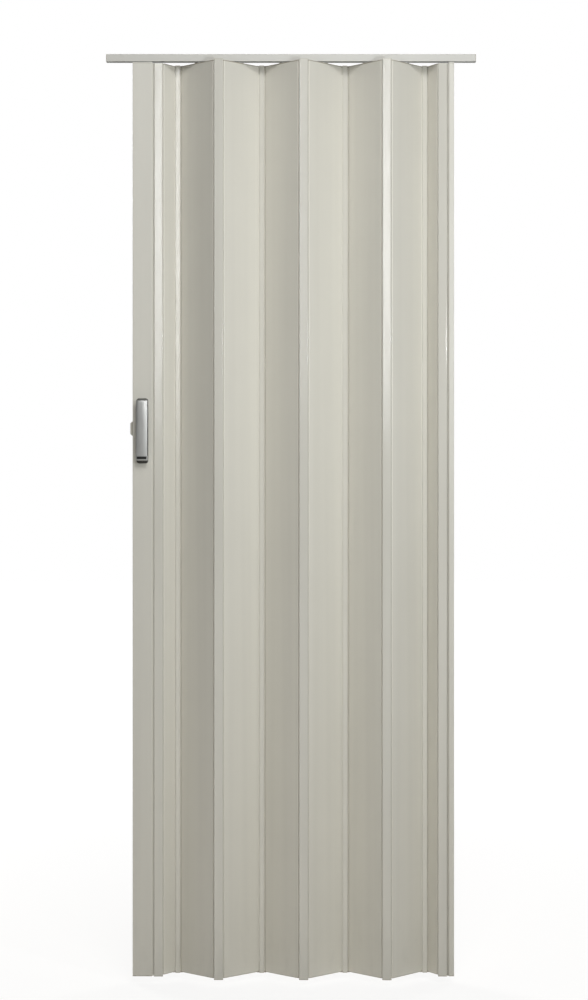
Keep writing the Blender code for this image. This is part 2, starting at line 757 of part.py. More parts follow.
def build_latch(frame):
    """Guide block inside the lead post, sliding bolt, and a thumb tab on each side of the bolt."""
    low_x = LEAD_EDGE + LEAD_POST_WALL + FIT_GAP
    high_x = -POST_FACE - LEAD_POST_WALL - FIT_GAP
    half_y = POST_HALF_DEPTH - LEAD_POST_WALL - FIT_GAP
    guide = block(
        "latch_block",
        (low_x, -half_y, -PULL_CENTRE_DROP - BLOCK_HEIGHT / 2),
        (high_x, half_y, -PULL_CENTRE_DROP + BLOCK_HEIGHT / 2),
    )
    hang(guide, frame)
    bpy.context.view_layer.update()
    bolt_end = LEAD_EDGE - BOLT_REACH + BOLT_LENGTH
    cuts = [bolt_window(low_x - FIT_GAP, bolt_end + BOLT_TRAVEL + 2 * FIT_GAP)]
    for side in (-1, 1):
        cuts.append(thumb_window(side, 0.0, 2 * half_y))
    cuts += screw_drills(SCREW_RADIUS + FIT_GAP, 3 * POST_DEPTH)
    combine(guide, cuts)
    dress(guide, "nylon")

    slide = new_frame("latch_slide", frame, (0.0, 0.0, -BOLT_CENTRE_DROP))
    half = BOLT_HEIGHT / 2
    tip = LEAD_EDGE - BOLT_REACH
    face = [
        (bolt_end, -half),
        (bolt_end, half),
        (tip + BOLT_CORNER, half),
        (tip, half - BOLT_CORNER),
        (tip, -half + BOLT_CORNER),
        (tip + BOLT_CORNER, -half),
    ]
    thumb_x = LEAD_EDGE + THUMB_SETBACK
    window = rounded_box(
        (thumb_x - THUMB_WIDTH / 2 - FIT_GAP, -THUMB_HEIGHT / 2 - FIT_GAP),
        (thumb_x + THUMB_WIDTH / 2 + FIT_GAP, THUMB_HEIGHT / 2 + FIT_GAP),
        0,
    )
    bolt = extrusion("latch_bolt", [face, window], BOLT_THICKNESS)
    hang(bolt, slide, turn=(math.radians(90), 0.0, 0.0))
    dress(bolt, "vinyl")

    for side, name in ((-1, "latch_thumb_front"), (1, "latch_thumb_back")):
        low_y, high_y = sorted((side * FIT_GAP / 2, side * (BASE_FRONT + THUMB_PROUD)))
        tab = block(
            name,
            (thumb_x - THUMB_WIDTH / 2, low_y, -THUMB_HEIGHT / 2),
            (thumb_x + THUMB_WIDTH / 2, high_y, THUMB_HEIGHT / 2),
        )
        hang(tab, slide)
        bevel = tab.modifiers.new("soften", "BEVEL")
        bevel.width = THUMB_EDGE
        bevel.segments = 2
        dress(tab, "vinyl")


def base_outline():
    """Outline of a pull's base plate, seen from the front, with its two screw holes and thumb slot."""
    half = PULL_WIDTH / 2 + BASE_MARGIN
    top = PULL_HEIGHT / 2 + BASE_ABOVE
    bottom = -PULL_HEIGHT / 2 - BASE_BELOW
    loops = [rounded_box((-half, bottom), (half, top), BASE_CORNER)]
    for rise in (SCREW_RISE, -SCREW_RISE):
        loops.append(ring((0.0, rise), SCREW_RADIUS + FIT_GAP))
    left = LEAD_EDGE + THUMB_SETBACK - THUMB_WIDTH / 2 - FIT_GAP - LEAD_POST_CENTRE
    right = left + THUMB_WIDTH + BOLT_TRAVEL + 2 * FIT_GAP
    middle = PULL_CENTRE_DROP - BOLT_CENTRE_DROP
    half_z = THUMB_HEIGHT / 2 + FIT_GAP
    loops.append(rounded_box((left, middle - half_z), (right, middle + half_z), 0))
    return loops


def bow_outline():
    """Side view of a pull: local X is the distance from its foot, local Y its height."""
    top = PULL_HEIGHT / 2
    outer = arc((PULL_STANDOFF - PULL_BEND, -top + PULL_BEND), PULL_BEND, -90, 0, 6)
    outer += arc((PULL_STANDOFF - PULL_BEND, top - PULL_BEND), PULL_BEND, 0, 90, 6)
    deep = PULL_STANDOFF - PULL_BAR
    low = top - PULL_LEG
    inner = [(0.0, low)]
    inner += arc((deep - PULL_INNER_BEND, low - PULL_INNER_BEND), PULL_INNER_BEND, 90, 0, 4)
    inner += arc((deep - PULL_INNER_BEND, -low + PULL_INNER_BEND), PULL_INNER_BEND, 0, -90, 4)
    inner.append((0.0, -low))
    return [[(0.0, -top)] + outer + [(0.0, top)] + inner]


def crown_outline():
    """Plan view of a pull: a shallow crowned front face. Local Y is the distance from its foot."""
    half = PULL_WIDTH / 2
    side = PULL_STANDOFF - PULL_CROWN
    radius = (half**2 + PULL_CROWN**2) / (2 * PULL_CROWN)
    sweep = math.degrees(math.asin(half / radius))
    crown = arc((0.0, PULL_STANDOFF - radius), radius, 90 - sweep, 90 + sweep, 10)
    return [[(-half, -PULL_BAR), (half, -PULL_BAR), (half, side)] + crown[1:-1] + [(-half, side)]]


def corner_outline():
    """Front view of a pull, with round corners."""
    half = PULL_WIDTH / 2
    top = PULL_HEIGHT / 2
    return [rounded_box((-half, -top), (half, top), PULL_CORNER)]


def pull_master(name, with_heads):
    """Bow handle as the space that its side view, plan view and front view share."""
    bow = extrusion(name, bow_outline(), 2 * PULL_WIDTH)
    bow.matrix_world = ALONG_X
    plan = extrusion("pull_plan", crown_outline(), 2 * PULL_HEIGHT)
    face = extrusion("pull_face", corner_outline(), 3 * PULL_STANDOFF)
    face.matrix_world = Matrix.Rotation(math.radians(90), 4, "X")
    bow, plan, face = as_mesh(bow), as_mesh(plan), as_mesh(face)
    for thing in (bow, plan, face):
        thing.data.transform(thing.matrix_world)
        thing.matrix_world = Matrix.Identity(4)
    for tool in (plan, face):
        PARTS.objects.unlink(tool)
        CUTTERS.objects.link(tool)
        tool.hide_render = True
        tool.display_type = "WIRE"
    combine(bow, [plan, face], "INTERSECT")
    inset_low = -PULL_HEIGHT / 2 + INSET_RISE
    half = INSET_WIDTH / 2
    cuts = [
        cutter_box((-half, INSET_FLOOR, inset_low), (half, 2 * PULL_STANDOFF, inset_low + INSET_HEIGHT))
    ]
    hole = SCREW_RADIUS + FIT_GAP
    head_hole = SCREW_HEAD_RADIUS + FIT_GAP
    head_ends = (2 * PULL_STANDOFF, INSET_FLOOR + FIT_GAP)
    for rise, head_end in zip((SCREW_RISE, -SCREW_RISE), head_ends):
        if with_heads:
            cuts.append(drill_out(rise, -PULL_BAR, PULL_STANDOFF, hole))
            cuts.append(drill_out(rise, SCREW_SEAT - FIT_GAP, head_end, head_hole))
        else:
            cuts.append(drill_out(rise, -PULL_BAR, SCREW_GRIP_DEPTH, hole))
    combine(bow, cuts)
    return bow


def drill_out(rise, start, end, radius):
    """A round cutter at one height of a pull, between two distances from its foot."""
    return cutter_drill((0, (start + end) / 2, rise), (0, 1, 0), radius, end - start)


def build_pull(frame, side, label, with_heads):
    """Base plate, bow and inset on one face of the lead post. Side is -1 at the front, 1 at the back."""
    middle = -PULL_CENTRE_DROP
    base = extrusion(f"{label}_pull_base", base_outline(), BASE_THICKNESS)
    place = (LEAD_POST_CENTRE, side * (BASE_BACK + BASE_THICKNESS / 2), middle)
    hang(base, frame, place, (math.radians(90), 0.0, 0.0))
    dress(base, "dark_plastic")

    bow = pull_master(f"{label}_pull", with_heads)
    turn = math.radians(180) if side < 0 else 0.0
    hang(bow, frame, (LEAD_POST_CENTRE, side * PULL_FOOT, middle), (0.0, 0.0, turn))
    bpy.context.view_layer.update()
    for step in bow.modifiers:
        step.object.parent = frame
        step.object.matrix_world = bow.matrix_world.copy()
    dress(bow, "satin_metal")

    inset_low = -PULL_HEIGHT / 2 + INSET_RISE + FIT_GAP
    half = INSET_WIDTH / 2 - FIT_GAP
    inset = block(
        f"{label}_pull_inset",
        (-half, INSET_FLOOR + FIT_GAP, inset_low),
        (half, INSET_FLOOR + INSET_DEPTH + FIT_GAP, inset_low + INSET_HEIGHT - 2 * FIT_GAP),
    )
    hang(inset, frame, (LEAD_POST_CENTRE, side * PULL_FOOT, middle), (0.0, 0.0, turn))
    dress(inset, "dark_plastic")


def build_pull_screws(frame):
    """Two long screws whose heads sit in the back pull and whose tips end in the front pull."""
    head_base = PULL_FOOT + SCREW_SEAT
    tip = PULL_FOOT + SCREW_GRIP_DEPTH - 2 * FIT_GAP
    profile = [
        (0.0, head_base + SCREW_HEAD_HEIGHT),
        (SCREW_HEAD_RADIUS - SCREW_HEAD_EDGE, head_base + SCREW_HEAD_HEIGHT),
        (SCREW_HEAD_RADIUS, head_base + SCREW_HEAD_HEIGHT - SCREW_HEAD_EDGE),
        (SCREW_HEAD_RADIUS, head_base),
        (SCREW_RADIUS, head_base),
        (SCREW_RADIUS, -tip + SCREW_RADIUS / 2),
        (SCREW_RADIUS / 2, -tip),
        (0.0, -tip),
    ]
    for z, name in zip(screw_heights(), ("pull_screw_upper", "pull_screw_lower")):
        screw = turned(name, profile)
        hang(screw, frame, (LEAD_POST_CENTRE, 0.0, z), (math.radians(-90), 0.0, 0.0))
        dress(screw, "steel")


def build_lead_hanger(frame, masters):
    """Block in the top of the lead post, with two pins and two gliders."""
    low_x = LEAD_EDGE + LEAD_POST_WALL + FIT_GAP
    high_x = -POST_FACE - LEAD_POST_WALL - FIT_GAP
    half_y = POST_HALF_DEPTH - LEAD_POST_WALL - FIT_GAP
    seat = POST_TOP + FIT_GAP
    body = block(
        "lead_hanger", (low_x, -half_y, seat - HANGER_PLUG_LENGTH), (high_x, half_y, seat)
    )
    hang(body, frame)
    bpy.context.view_layer.update()
    flange = cutter_box(
        (LEAD_EDGE, -POST_HALF_DEPTH, seat), (-POST_FACE, POST_HALF_DEPTH, HANGER_TOP)
    )
    combine(body, [flange], "UNION")
    drills = []
    for side in (-1, 1):
        x = LEAD_POST_CENTRE + side * LEAD_PIN_SPREAD / 2
        drills.append(
            cutter_drill(
                (x, 0, HANGER_TOP - PIN_SHANK_LENGTH / 2),
                (0, 0, 1),
                PIN_SHANK_RADIUS + FIT_GAP,
                PIN_SHANK_LENGTH + 2 * FIT_GAP + PIN_COLLAR_HEIGHT,
            )
        )
        label = "left" if side < 0 else "right"
        add_pin_and_glider(
            f"lead_pin_{label}", f"lead_glider_{label}", masters, frame, (x, 0.0, 0.0), 0.0
        )
    combine(body, drills)
    dress(body, "nylon")


def fold_of(panel):
    """Fold of a full panel at rest. Panel 1 is nearest the lead post."""
    share = (panel - 1) / (FULL_PANELS - 1)
    dip = 4 * FOLD_DIP_MIDWAY * share * (1 - share)
    return FOLD_AT_LEAD + (FOLD_AT_JAMB - FOLD_AT_LEAD) * share - dip


def half_depth(panel):
    """Distance from the track's middle to either hinge axis of a full panel."""
    return PANEL_SPAN / 2 * math.sin(math.radians(fold_of(panel)))


def short_span():
    """Width of a short panel, which reaches from the track's middle to the deepest fold."""
    return half_depth(FULL_PANELS) / math.sin(math.radians(SHORT_PANEL_FOLD))


def chain():
    """Links from the jamb to the lead post: name, kind, length and angle from -X towards the back.

    Full panels lie across the track with their middles on its centre line. A strip between two of
    them leans by what their half depths differ, and a short panel spans one half depth.
    """
    short = short_span()
    links = [
        ("jamb_hinge_strip", "front_strip", STRIP_SPAN, 0.0),
        ("jamb_half_panel", "short", short, SHORT_PANEL_FOLD),
    ]
    for panel in range(FULL_PANELS, 0, -1):
        to_front = panel % 2 == 0
        strip_number = panel // 2 + 1
        if to_front:
            name, kind = f"back_hinge_strip_{strip_number}", "back_strip"
        else:
            name, kind = f"front_hinge_strip_{strip_number}", "front_strip"
        lean = 0.0
        if panel < FULL_PANELS:
            drop = half_depth(panel + 1) - half_depth(panel)
            lean = math.degrees(math.asin(drop / STRIP_SPAN))
        links.append((name, kind, STRIP_SPAN, -lean if to_front else lean))
        fold = fold_of(panel)
        links.append((f"panel_{panel}", "full", PANEL_SPAN, -fold if to_front else fold))
    links.append(("back_hinge_strip_1", "back_strip", STRIP_SPAN, 0.0))
    lead_reach = math.degrees(math.asin(half_depth(1) / short))
    links.append(("lead_half_panel", "short", short, -lead_reach))
    links.append(("lead_hinge_strip", "front_strip", STRIP_SPAN, 0.0))
    return links


def build_chain(masters):
    """Hangs every strip and panel from the one before it. Returns the frame of the lead post."""
    sections = {
        "front_strip": strip_outline(),
        "back_strip": flipped(strip_outline()),
        "full": panel_outline(PANEL_SPAN, PANEL_CELLS),
        "short": panel_outline(short_span(), SHORT_PANEL_CELLS),
    }
    parent, reach, angle_before = JAMB, 0.0, 0.0
    for name, kind, length, angle in chain():
        turn = math.radians(angle_before - angle)
        frame = new_frame(name + "_hinge", parent, (-reach, 0.0, 0.0), turn)
        if kind in ("full", "short"):
            low, high = PANEL_FOOT, PANEL_TOP
        elif name in ("jamb_hinge_strip", "lead_hinge_strip"):
            low, high = STRIP_FOOT, POST_TOP
        else:
            low, high = STRIP_FOOT, FREE_STRIP_TOP
        upright(name, sections[kind], low, high, frame)
        if kind == "full":
            middle = (-length / 2, 0.0, 0.0)
            build_hanging_set(int(name[-1]), masters, frame, middle, math.radians(angle))
        parent, reach, angle_before = frame, length, angle
    return new_frame("lead_post_hinge", parent, (-reach, 0.0, 0.0), math.radians(angle_before))


def main():
    masters = {
        "hanger": hanger_master(),
        "pin": as_mesh(turned("pin_blank", pin_profile(), 12)),
        "glider": glider_master(),
    }
    build_track()
    build_jamb_post()
    build_jamb_anchor()
    lead = build_chain(masters)
    bpy.context.view_layer.update()
    build_lead_post(lead)
    build_lead_hanger(lead, masters)
    build_latch(lead)
    build_pull(lead, -1, "front", False)
    build_pull(lead, 1, "back", True)
    build_pull_screws(lead)
    for master in masters.values():
        bpy.data.objects.remove(master, do_unlink=True)


clear_scene()
PARTS = new_collection("folding_door")
CUTTERS = new_collection("folding_door_cutters")
HEADER = new_frame("header")
JAMB = new_frame("jamb_post_hinge", HEADER, (JAMB_HINGE_X, 0.0, 0.0))
main()
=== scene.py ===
"""Looks of the folding door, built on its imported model.

Metres, +Z up, +X towards the jamb post and +Y away from the viewer. The origin is the middle of the
track's top face. Strips, panels, posts and track are extrusions, so their finer meshes are drawn as
sections and pulled along their length by one geometry tree. Links run from their right hinge axis
along their own -X.
"""

import math

import bmesh
import bpy
from mathutils import Matrix, Vector


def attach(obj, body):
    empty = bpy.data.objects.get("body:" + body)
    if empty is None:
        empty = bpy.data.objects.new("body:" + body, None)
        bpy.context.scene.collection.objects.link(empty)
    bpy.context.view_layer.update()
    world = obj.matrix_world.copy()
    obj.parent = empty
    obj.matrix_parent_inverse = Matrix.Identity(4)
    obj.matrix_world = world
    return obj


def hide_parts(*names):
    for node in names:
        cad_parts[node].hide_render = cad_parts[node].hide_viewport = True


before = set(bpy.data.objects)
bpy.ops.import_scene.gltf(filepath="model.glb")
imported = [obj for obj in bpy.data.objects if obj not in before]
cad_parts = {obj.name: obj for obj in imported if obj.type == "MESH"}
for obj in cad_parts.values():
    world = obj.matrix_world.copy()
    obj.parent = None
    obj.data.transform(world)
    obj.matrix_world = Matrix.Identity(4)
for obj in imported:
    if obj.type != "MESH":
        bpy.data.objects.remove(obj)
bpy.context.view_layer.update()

# Overall sizes
TRACK_LENGTH = 0.8128
DOOR_DROP = 2.0275
JAMB_SETBACK = 0.0482
PANEL_SPAN = 0.1083
STRIP_SPAN = 0.0130
FULL_PANELS = 6
FOLD_AT_JAMB = 46.7
FOLD_AT_LEAD = 42.6
FOLD_DIP_MIDWAY = 1.8
SHORT_PANEL_FOLD = 59.0

# Track and clearances
FIT_GAP = 0.0003
POST_GAP = 0.0006
RUNNING_GAP = 0.0030
TRACK_HEIGHT = 0.0165
TRACK_DEPTH = 0.0160
TRACK_WALL = 0.0013
TRACK_LIP = 0.0015
TRACK_SLOT = 0.0075
TRACK_CORNER = 0.0008
TRACK_SCREW_RADIUS = 0.0024
TRACK_SCREWS = 4
TRACK_SCREW_INSET = 0.0564
PANEL_TOP_GAP = 0.0025
FREE_STRIP_TOP_GAP = 0.0003
PANEL_FOOT_RISE = 0.0028
POST_FOOT_RISE = 0.0015

# Knuckles, strips and panels
BEAD_RADIUS = 0.0023
NECK_HALF = 0.0007
SOCKET_WALL = 0.0011
SOCKET_OPENS_FROM = 14.0
SOCKET_OPENS_TO = 116.0
STRIP_OVERHANG = 0.0035
STRIP_WEB = 0.0015
STRIP_CORNER = 0.0018
STRIP_HOLLOW_WALL = 0.0013
PANEL_THICKNESS = 0.0070
PANEL_SKIN = 0.0011
PANEL_RIB = 0.0010
PANEL_CORNER = 0.0024
SHOULDER_START = 0.0044
SHOULDER_WALL = 0.0020
PANEL_CELLS = 7
SHORT_PANEL_CELLS = 3
CELL_CORNER = 0.0005

# Posts
POST_DEPTH = 0.0200
POST_CORNER = 0.0012
LEDGE_REACH = 0.0027
LEDGE_FRONT = 0.0041
LEDGE_CORNER = 0.0005
LEAD_POST_WIDTH = 0.0430
JAMB_POST_WIDTH = 0.0116
POST_WALL = 0.0018
ARM_ANGLE = 45.0
JAMB_SCREW_RADIUS = 0.0024
JAMB_DRIVER_RADIUS = 0.0042
JAMB_SCREWS = 4
JAMB_SCREW_INSET = 0.1500

# Pulls and latch
PULL_CENTRE_DROP = 0.8276
PULL_WIDTH = 0.0243
PULL_HEIGHT = 0.1340
PULL_STANDOFF = 0.0220
PULL_BAR = 0.0062
PULL_LEG = 0.0115
PULL_BEND = 0.0065
PULL_INNER_BEND = 0.0040
PULL_CROWN = 0.0022
PULL_CORNER = 0.0028
PULL_SOFT_EDGE = 0.0005
BASE_MARGIN = 0.0008
BASE_ABOVE = 0.0036
BASE_BELOW = 0.0050
BASE_THICKNESS = 0.0022
BASE_CORNER = 0.0060
BASE_SOFT_EDGE = 0.0005
INSET_WIDTH = 0.0218
INSET_HEIGHT = 0.0060
INSET_DEPTH = 0.0024
INSET_RISE = 0.0035
INSET_SOFT_EDGE = 0.0007
SCREW_RADIUS = 0.0020
SCREW_HEAD_RADIUS = 0.0038
SCREW_HEAD_HEIGHT = 0.0022
SCREW_HEAD_EDGE = 0.0011
SCREW_GRIP_DEPTH = 0.0120
CROSS_REACH = 0.0021
CROSS_WIDTH = 0.0007
CROSS_DEPTH = 0.0013
BOLT_CENTRE_DROP = 0.8230
BOLT_HEIGHT = 0.0307
BOLT_THICKNESS = 0.0050
BOLT_REACH = 0.0055
BOLT_LENGTH = 0.0345
BOLT_CORNER = 0.0035
BOLT_TRAVEL = 0.0055
BOLT_SOFT_EDGE = 0.0006
THUMB_WIDTH = 0.0060
THUMB_HEIGHT = 0.0100
THUMB_PROUD = 0.0048
THUMB_SETBACK = 0.0205
THUMB_EDGE = 0.0008
GRIP_RIDGES = 4
GRIP_RADIUS = 0.00035
GRIP_END_GAP = 0.00096

# Facets and mesh work
BEAD_STEPS = 32
SOCKET_STEPS = 30
HOLE_STEPS = 32
CORNER_STEPS = 8
CELL_STEPS = 3
LEDGE_STEPS = 4
CROWN_STEPS = 24
RIDGE_SIDES = 16
FLAT_MARGIN = 0.0003
SMOOTH_BELOW = math.radians(34)
ROUND_ABOVE = math.radians(40)
WELD_WITHIN = 0.000001
POLE_WITHIN = 0.00001

# Sizes worked out from the ones above
SOCKET_RADIUS = BEAD_RADIUS + FIT_GAP
SOCKET_OUTER = SOCKET_RADIUS + SOCKET_WALL
WEB_FACE = SOCKET_OUTER + STRIP_WEB
TRACK_HALF_INSIDE = TRACK_DEPTH / 2 - TRACK_WALL
LIP_TOP = -TRACK_HEIGHT + TRACK_LIP
PANEL_TOP = -TRACK_HEIGHT - PANEL_TOP_GAP
FREE_STRIP_TOP = -TRACK_HEIGHT - FREE_STRIP_TOP_GAP
POST_TOP = -TRACK_HEIGHT - RUNNING_GAP
STRIP_FOOT = -DOOR_DROP
POST_FOOT = STRIP_FOOT + POST_FOOT_RISE
PANEL_FOOT = STRIP_FOOT + PANEL_FOOT_RISE
LEDGE_EDGE = STRIP_OVERHANG + POST_GAP
POST_FACE = LEDGE_EDGE + LEDGE_REACH
POST_HALF_DEPTH = POST_DEPTH / 2
JAMB_SCREW_SETBACK = POST_DEPTH / 10
JAMB_HINGE_X = TRACK_LENGTH / 2 - JAMB_SETBACK - JAMB_POST_WIDTH - POST_FACE
LEAD_POST_CENTRE = -POST_FACE - LEAD_POST_WIDTH / 2
LEAD_EDGE = -POST_FACE - LEAD_POST_WIDTH
BASE_BACK = POST_HALF_DEPTH + FIT_GAP
BASE_FRONT = BASE_BACK + BASE_THICKNESS
PULL_FOOT = BASE_FRONT + FIT_GAP
SCREW_RISE = PULL_HEIGHT / 2 - PULL_LEG / 2
INSET_FLOOR = PULL_STANDOFF - PULL_CROWN - INSET_DEPTH
SCREW_SEAT = INSET_FLOOR - SCREW_HEAD_HEIGHT - FIT_GAP
SCREW_HOLE = SCREW_RADIUS + FIT_GAP
THUMB_MIDDLE = LEAD_EDGE + THUMB_SETBACK
THUMB_FACE = BASE_FRONT + THUMB_PROUD - GRIP_RADIUS
THUMB_HOLE_REACH = THUMB_WIDTH / 2 + FIT_GAP
THUMB_HOLE_RISE = THUMB_HEIGHT / 2 + FIT_GAP

QUARTER = math.radians(90)
ALONG_X = Matrix(((0, 0, 1, 0), (1, 0, 0, 0), (0, 1, 0, 0), (0, 0, 0, 1)))
UPRIGHT = Matrix.Rotation(QUARTER, 4, "X")

# Colours as linear values
VINYL = (0.650, 0.627, 0.556)
TRACK_COLOUR = (0.532, 0.520, 0.476)
SATIN_METAL = (0.300, 0.300, 0.290)
PLATE_PLASTIC = (0.045, 0.042, 0.036)
DARK_PLASTIC = (0.008, 0.008, 0.007)
NYLON = (0.700, 0.685, 0.620)
ZINC = (0.560, 0.565, 0.570)
# Painted shade at the ends of the vinyl pieces, with darker saw-cut edges
SHADED_SAWN_END = (0.230, 0.190, 0.130)
PALE_FLOOR = (0.88, 0.85, 0.80)
WHITE = (1.0, 1.0, 1.0)

# Tones of the cream vinyl, as shares of VINYL. Panels, strips and posts are one vinyl: the
# lighter panel tone is painted light, the darker strip and post tones painted shade.
PANEL_LIT_TONE = 1.03
STRIP_SHADED_TONE = 0.92
POST_SHADED_TONE = 0.93
LATCH_TONE = 0.85

# Sockets that a Mix node uses for colours
MIX_COLOURS_IN = (6, 7)
MIX_COLOUR_OUT = 2

# Patterns in the finishes, in cells to the metre along X, Y and Z, or round and up a section
DIE_LINES = (620.0, 1.2, 1.0)
DRAW_WAVES = (46.0, 0.7, 1.0)
COLOUR_CLOUDS = (7.0, 7.0, 2.2)
DRY_GRAIN = (1400.0, 1400.0, 1100.0)
DUST_PATCHES = (38.0, 38.0, 16.0)
SPARK_GRAIN = (900.0, 900.0, 900.0)
PLASTIC_MOTTLE = (60.0, 60.0, 60.0)
BRUSH_LINES = (2600.0, 2600.0, 30.0)
METAL_BLOOM = (55.0, 55.0, 22.0)
ZINC_HAZE = (240.0, 240.0, 240.0)
ZINC_CRYSTALS = 1500.0

# Where a smooth step in a finish starts and ends
TONE_STEP = (0.30, 0.70)
DUST_STEP = (0.50, 0.72)
DUST_HEIGHTS = (-DOOR_DROP, -DOOR_DROP + 0.22)
SHADED_SAWN_END_STEP = (0.0010, 0.0030)
UNDERSIDE_STEP = (0.5, 0.9)

# Strength of what the finishes add
SHADED_SAWN_END_FRAY = 0.0010
FOOT_SHADE = 0.55
DUST_SHADE = 0.10
DUST_DULLS = 0.10
DUST_TONE = 0.62
UNDERSIDE_TONE = 0.10
VINYL_RELIEF = 0.00006
SPARK_RELIEF = 0.00004
FINE_RELIEF = 0.00001

# Stage
LENS = 77.7
EYE = (0.0065, -4.75, -1.022)
EYE_SHIFT = 0.0191
FLOOR_DROP = DOOR_DROP + 0.015
FLOOR_SIZE = 30.0
FLOOR_GLOW = 1.05
FLOOR_FADE = (2.1, 4.0)
GLOW_BY_DOOR = 0.80
WORLD_LIGHT = 0.04
DARK_SIDE = 0.08
SIDE_REACH = 0.7
LAMPS_AIM = (0.0, 0.0, -0.9)
# Name, place, width and height, power and colour. The strip beside the lead post and the front
# fold nearest the jamb mirror strip_light.
LAMPS = (
    ("key_light", (0.85, -1.5, -0.5), (0.18, 0.18), 10.8, (0.90, 0.95, 0.99)),
    ("sky_light", (0.3, -2.75, 1.25), (1.2, 1.2), 57.0, (0.985, 0.995, 1.0)),
    ("strip_light", (-0.61, -4.75, 0.28), (0.20, 1.9), 11.0, WHITE),
    ("floor_light", (0.0, -0.42, -2.03), (0.7, 0.7), 0.3, (1.0, 0.90, 0.76)),
    ("top_light", (0.0, 0.5, 1.5), (0.8, 0.8), 14.0, WHITE),
    ("back_left_light", (-1.8, 2.3, 0.2), (1.0, 1.0), 45.0, WHITE),
    ("back_right_light", (1.8, 2.3, 0.2), (1.0, 1.0), 30.0, WHITE),
)


# Node trees


def add_node(tree, kind, settings, sockets, out=0):
    """A wire from a new node, which gets its settings first and then its values or links.

    An output node gives no wire.
    """
    node = tree.nodes.new(kind)
    for key, value in settings.items():
        setattr(node, key, value)
    for key, value in sockets.items():
        for one in value if isinstance(value, list) else [value]:
            if isinstance(one, Wire):
                tree.links.new(one.socket, node.inputs[key])
            else:
                node.inputs[key].default_value = one
    return Wire(tree, node.outputs[out]) if len(node.outputs) else None


def add_range(tree, value, low, high, start=0.0, end=1.0):
    """A number that goes from low to high as the value goes from start to end."""
    sockets = {"Value": value, "From Min": start, "From Max": end, "To Min": low, "To Max": high}
    return add_node(tree, "ShaderNodeMapRange", {}, sockets)


class Wire:
    """The output of a node, which takes part in plain arithmetic."""

    def __init__(self, tree, socket):
        self.tree = tree
        self.socket = socket

    def maths(self, operation, first, second):
        sockets = {0: first, 1: second}
        return add_node(self.tree, "ShaderNodeMath", {"operation": operation}, sockets)

    def or_more(self, other):
        """The larger of two values."""
        return self.maths("MAXIMUM", self, other)

    def __add__(self, other):
        return self.maths("ADD", self, other)

    def __radd__(self, other):
        return self.maths("ADD", other, self)

    def __sub__(self, other):
        return self.maths("SUBTRACT", self, other)

    def __rsub__(self, other):
        return self.maths("SUBTRACT", other, self)

    def __mul__(self, other):
        return self.maths("MULTIPLY", self, other)

    def __rmul__(self, other):
        return self.maths("MULTIPLY", other, self)


class Finish:
    """One procedural material, made node by node."""

    def __init__(self, name):
        self.material = bpy.data.materials.new(name)
        self.material.use_nodes = True
        self.tree = self.material.node_tree
        self.shader = self.tree.nodes["Principled BSDF"]
        self.place = self.node("ShaderNodeTexCoord", {}, {}, "Object")

    def node(self, kind, settings, sockets, out=0):
        return add_node(self.tree, kind, settings, sockets, out)

    def noise(self, stretch, detail=2.0, place=None):
        """Soft noise, with so many cells to the metre along X, Y and Z."""
        sockets = {"Vector": place or self.place, "Scale": stretch}
        spot = self.node("ShaderNodeMapping", {}, sockets)
        sockets = {"Vector": spot, "Scale": 1.0, "Detail": detail}
        return self.node("ShaderNodeTexNoise", {}, sockets)

    def part(self, vector, axis):
        """The X, Y or Z of a vector."""
        return self.node("ShaderNodeSeparateXYZ", {}, {"Vector": vector}, axis)

    def ramp(self, value, low, high):
        """0 below low, 1 above high and a smooth step between."""
        return self.node(
            "ShaderNodeMapRange",
            {"interpolation_type": "SMOOTHSTEP"},
            {"Value": value, "From Min": low, "From Max": high},
        )

    def tint(self, share, first, second):
        """A colour that goes from the first to the second as share goes from 0 to 1."""
        sockets = {0: share}
        for slot, colour in zip(MIX_COLOURS_IN, (first, second)):
            sockets[slot] = colour if isinstance(colour, Wire) else (*colour, 1.0)
        return self.node("ShaderNodeMix", {"data_type": "RGBA"}, sockets, MIX_COLOUR_OUT)

    def mottled(self, noise, colour, darkest, lightest):
        """The colour between two shares of itself, which change with the noise."""
        share = self.ramp(noise, *TONE_STEP)
        return self.tint(share, shade(colour, darkest), shade(colour, lightest))

    def relief(self, height, depth):
        """A bump whose full height is the given depth in metres."""
        sockets = {"Strength": 1.0, "Distance": depth, "Height": height}
        return self.node("ShaderNodeBump", {}, sockets)

    def feed(self, **sockets):
        """Sets sockets of the surface shader, whose names have underscores here for spaces."""
        for key, value in sockets.items():
            socket = self.shader.inputs[key.replace("_", " ")]
            if isinstance(value, Wire):
                self.tree.links.new(value.socket, socket)
            else:
                socket.default_value = value
        return self.material


def shade(colour, share):
    """The same colour, lighter or darker."""
    return tuple(part * share for part in colour)


def swinging(base, *swings):
    """A value that swings round base, by so much from end to end with each noise."""
    for size, noise in swings:
        base = base + size * (noise - 0.5)
    return base


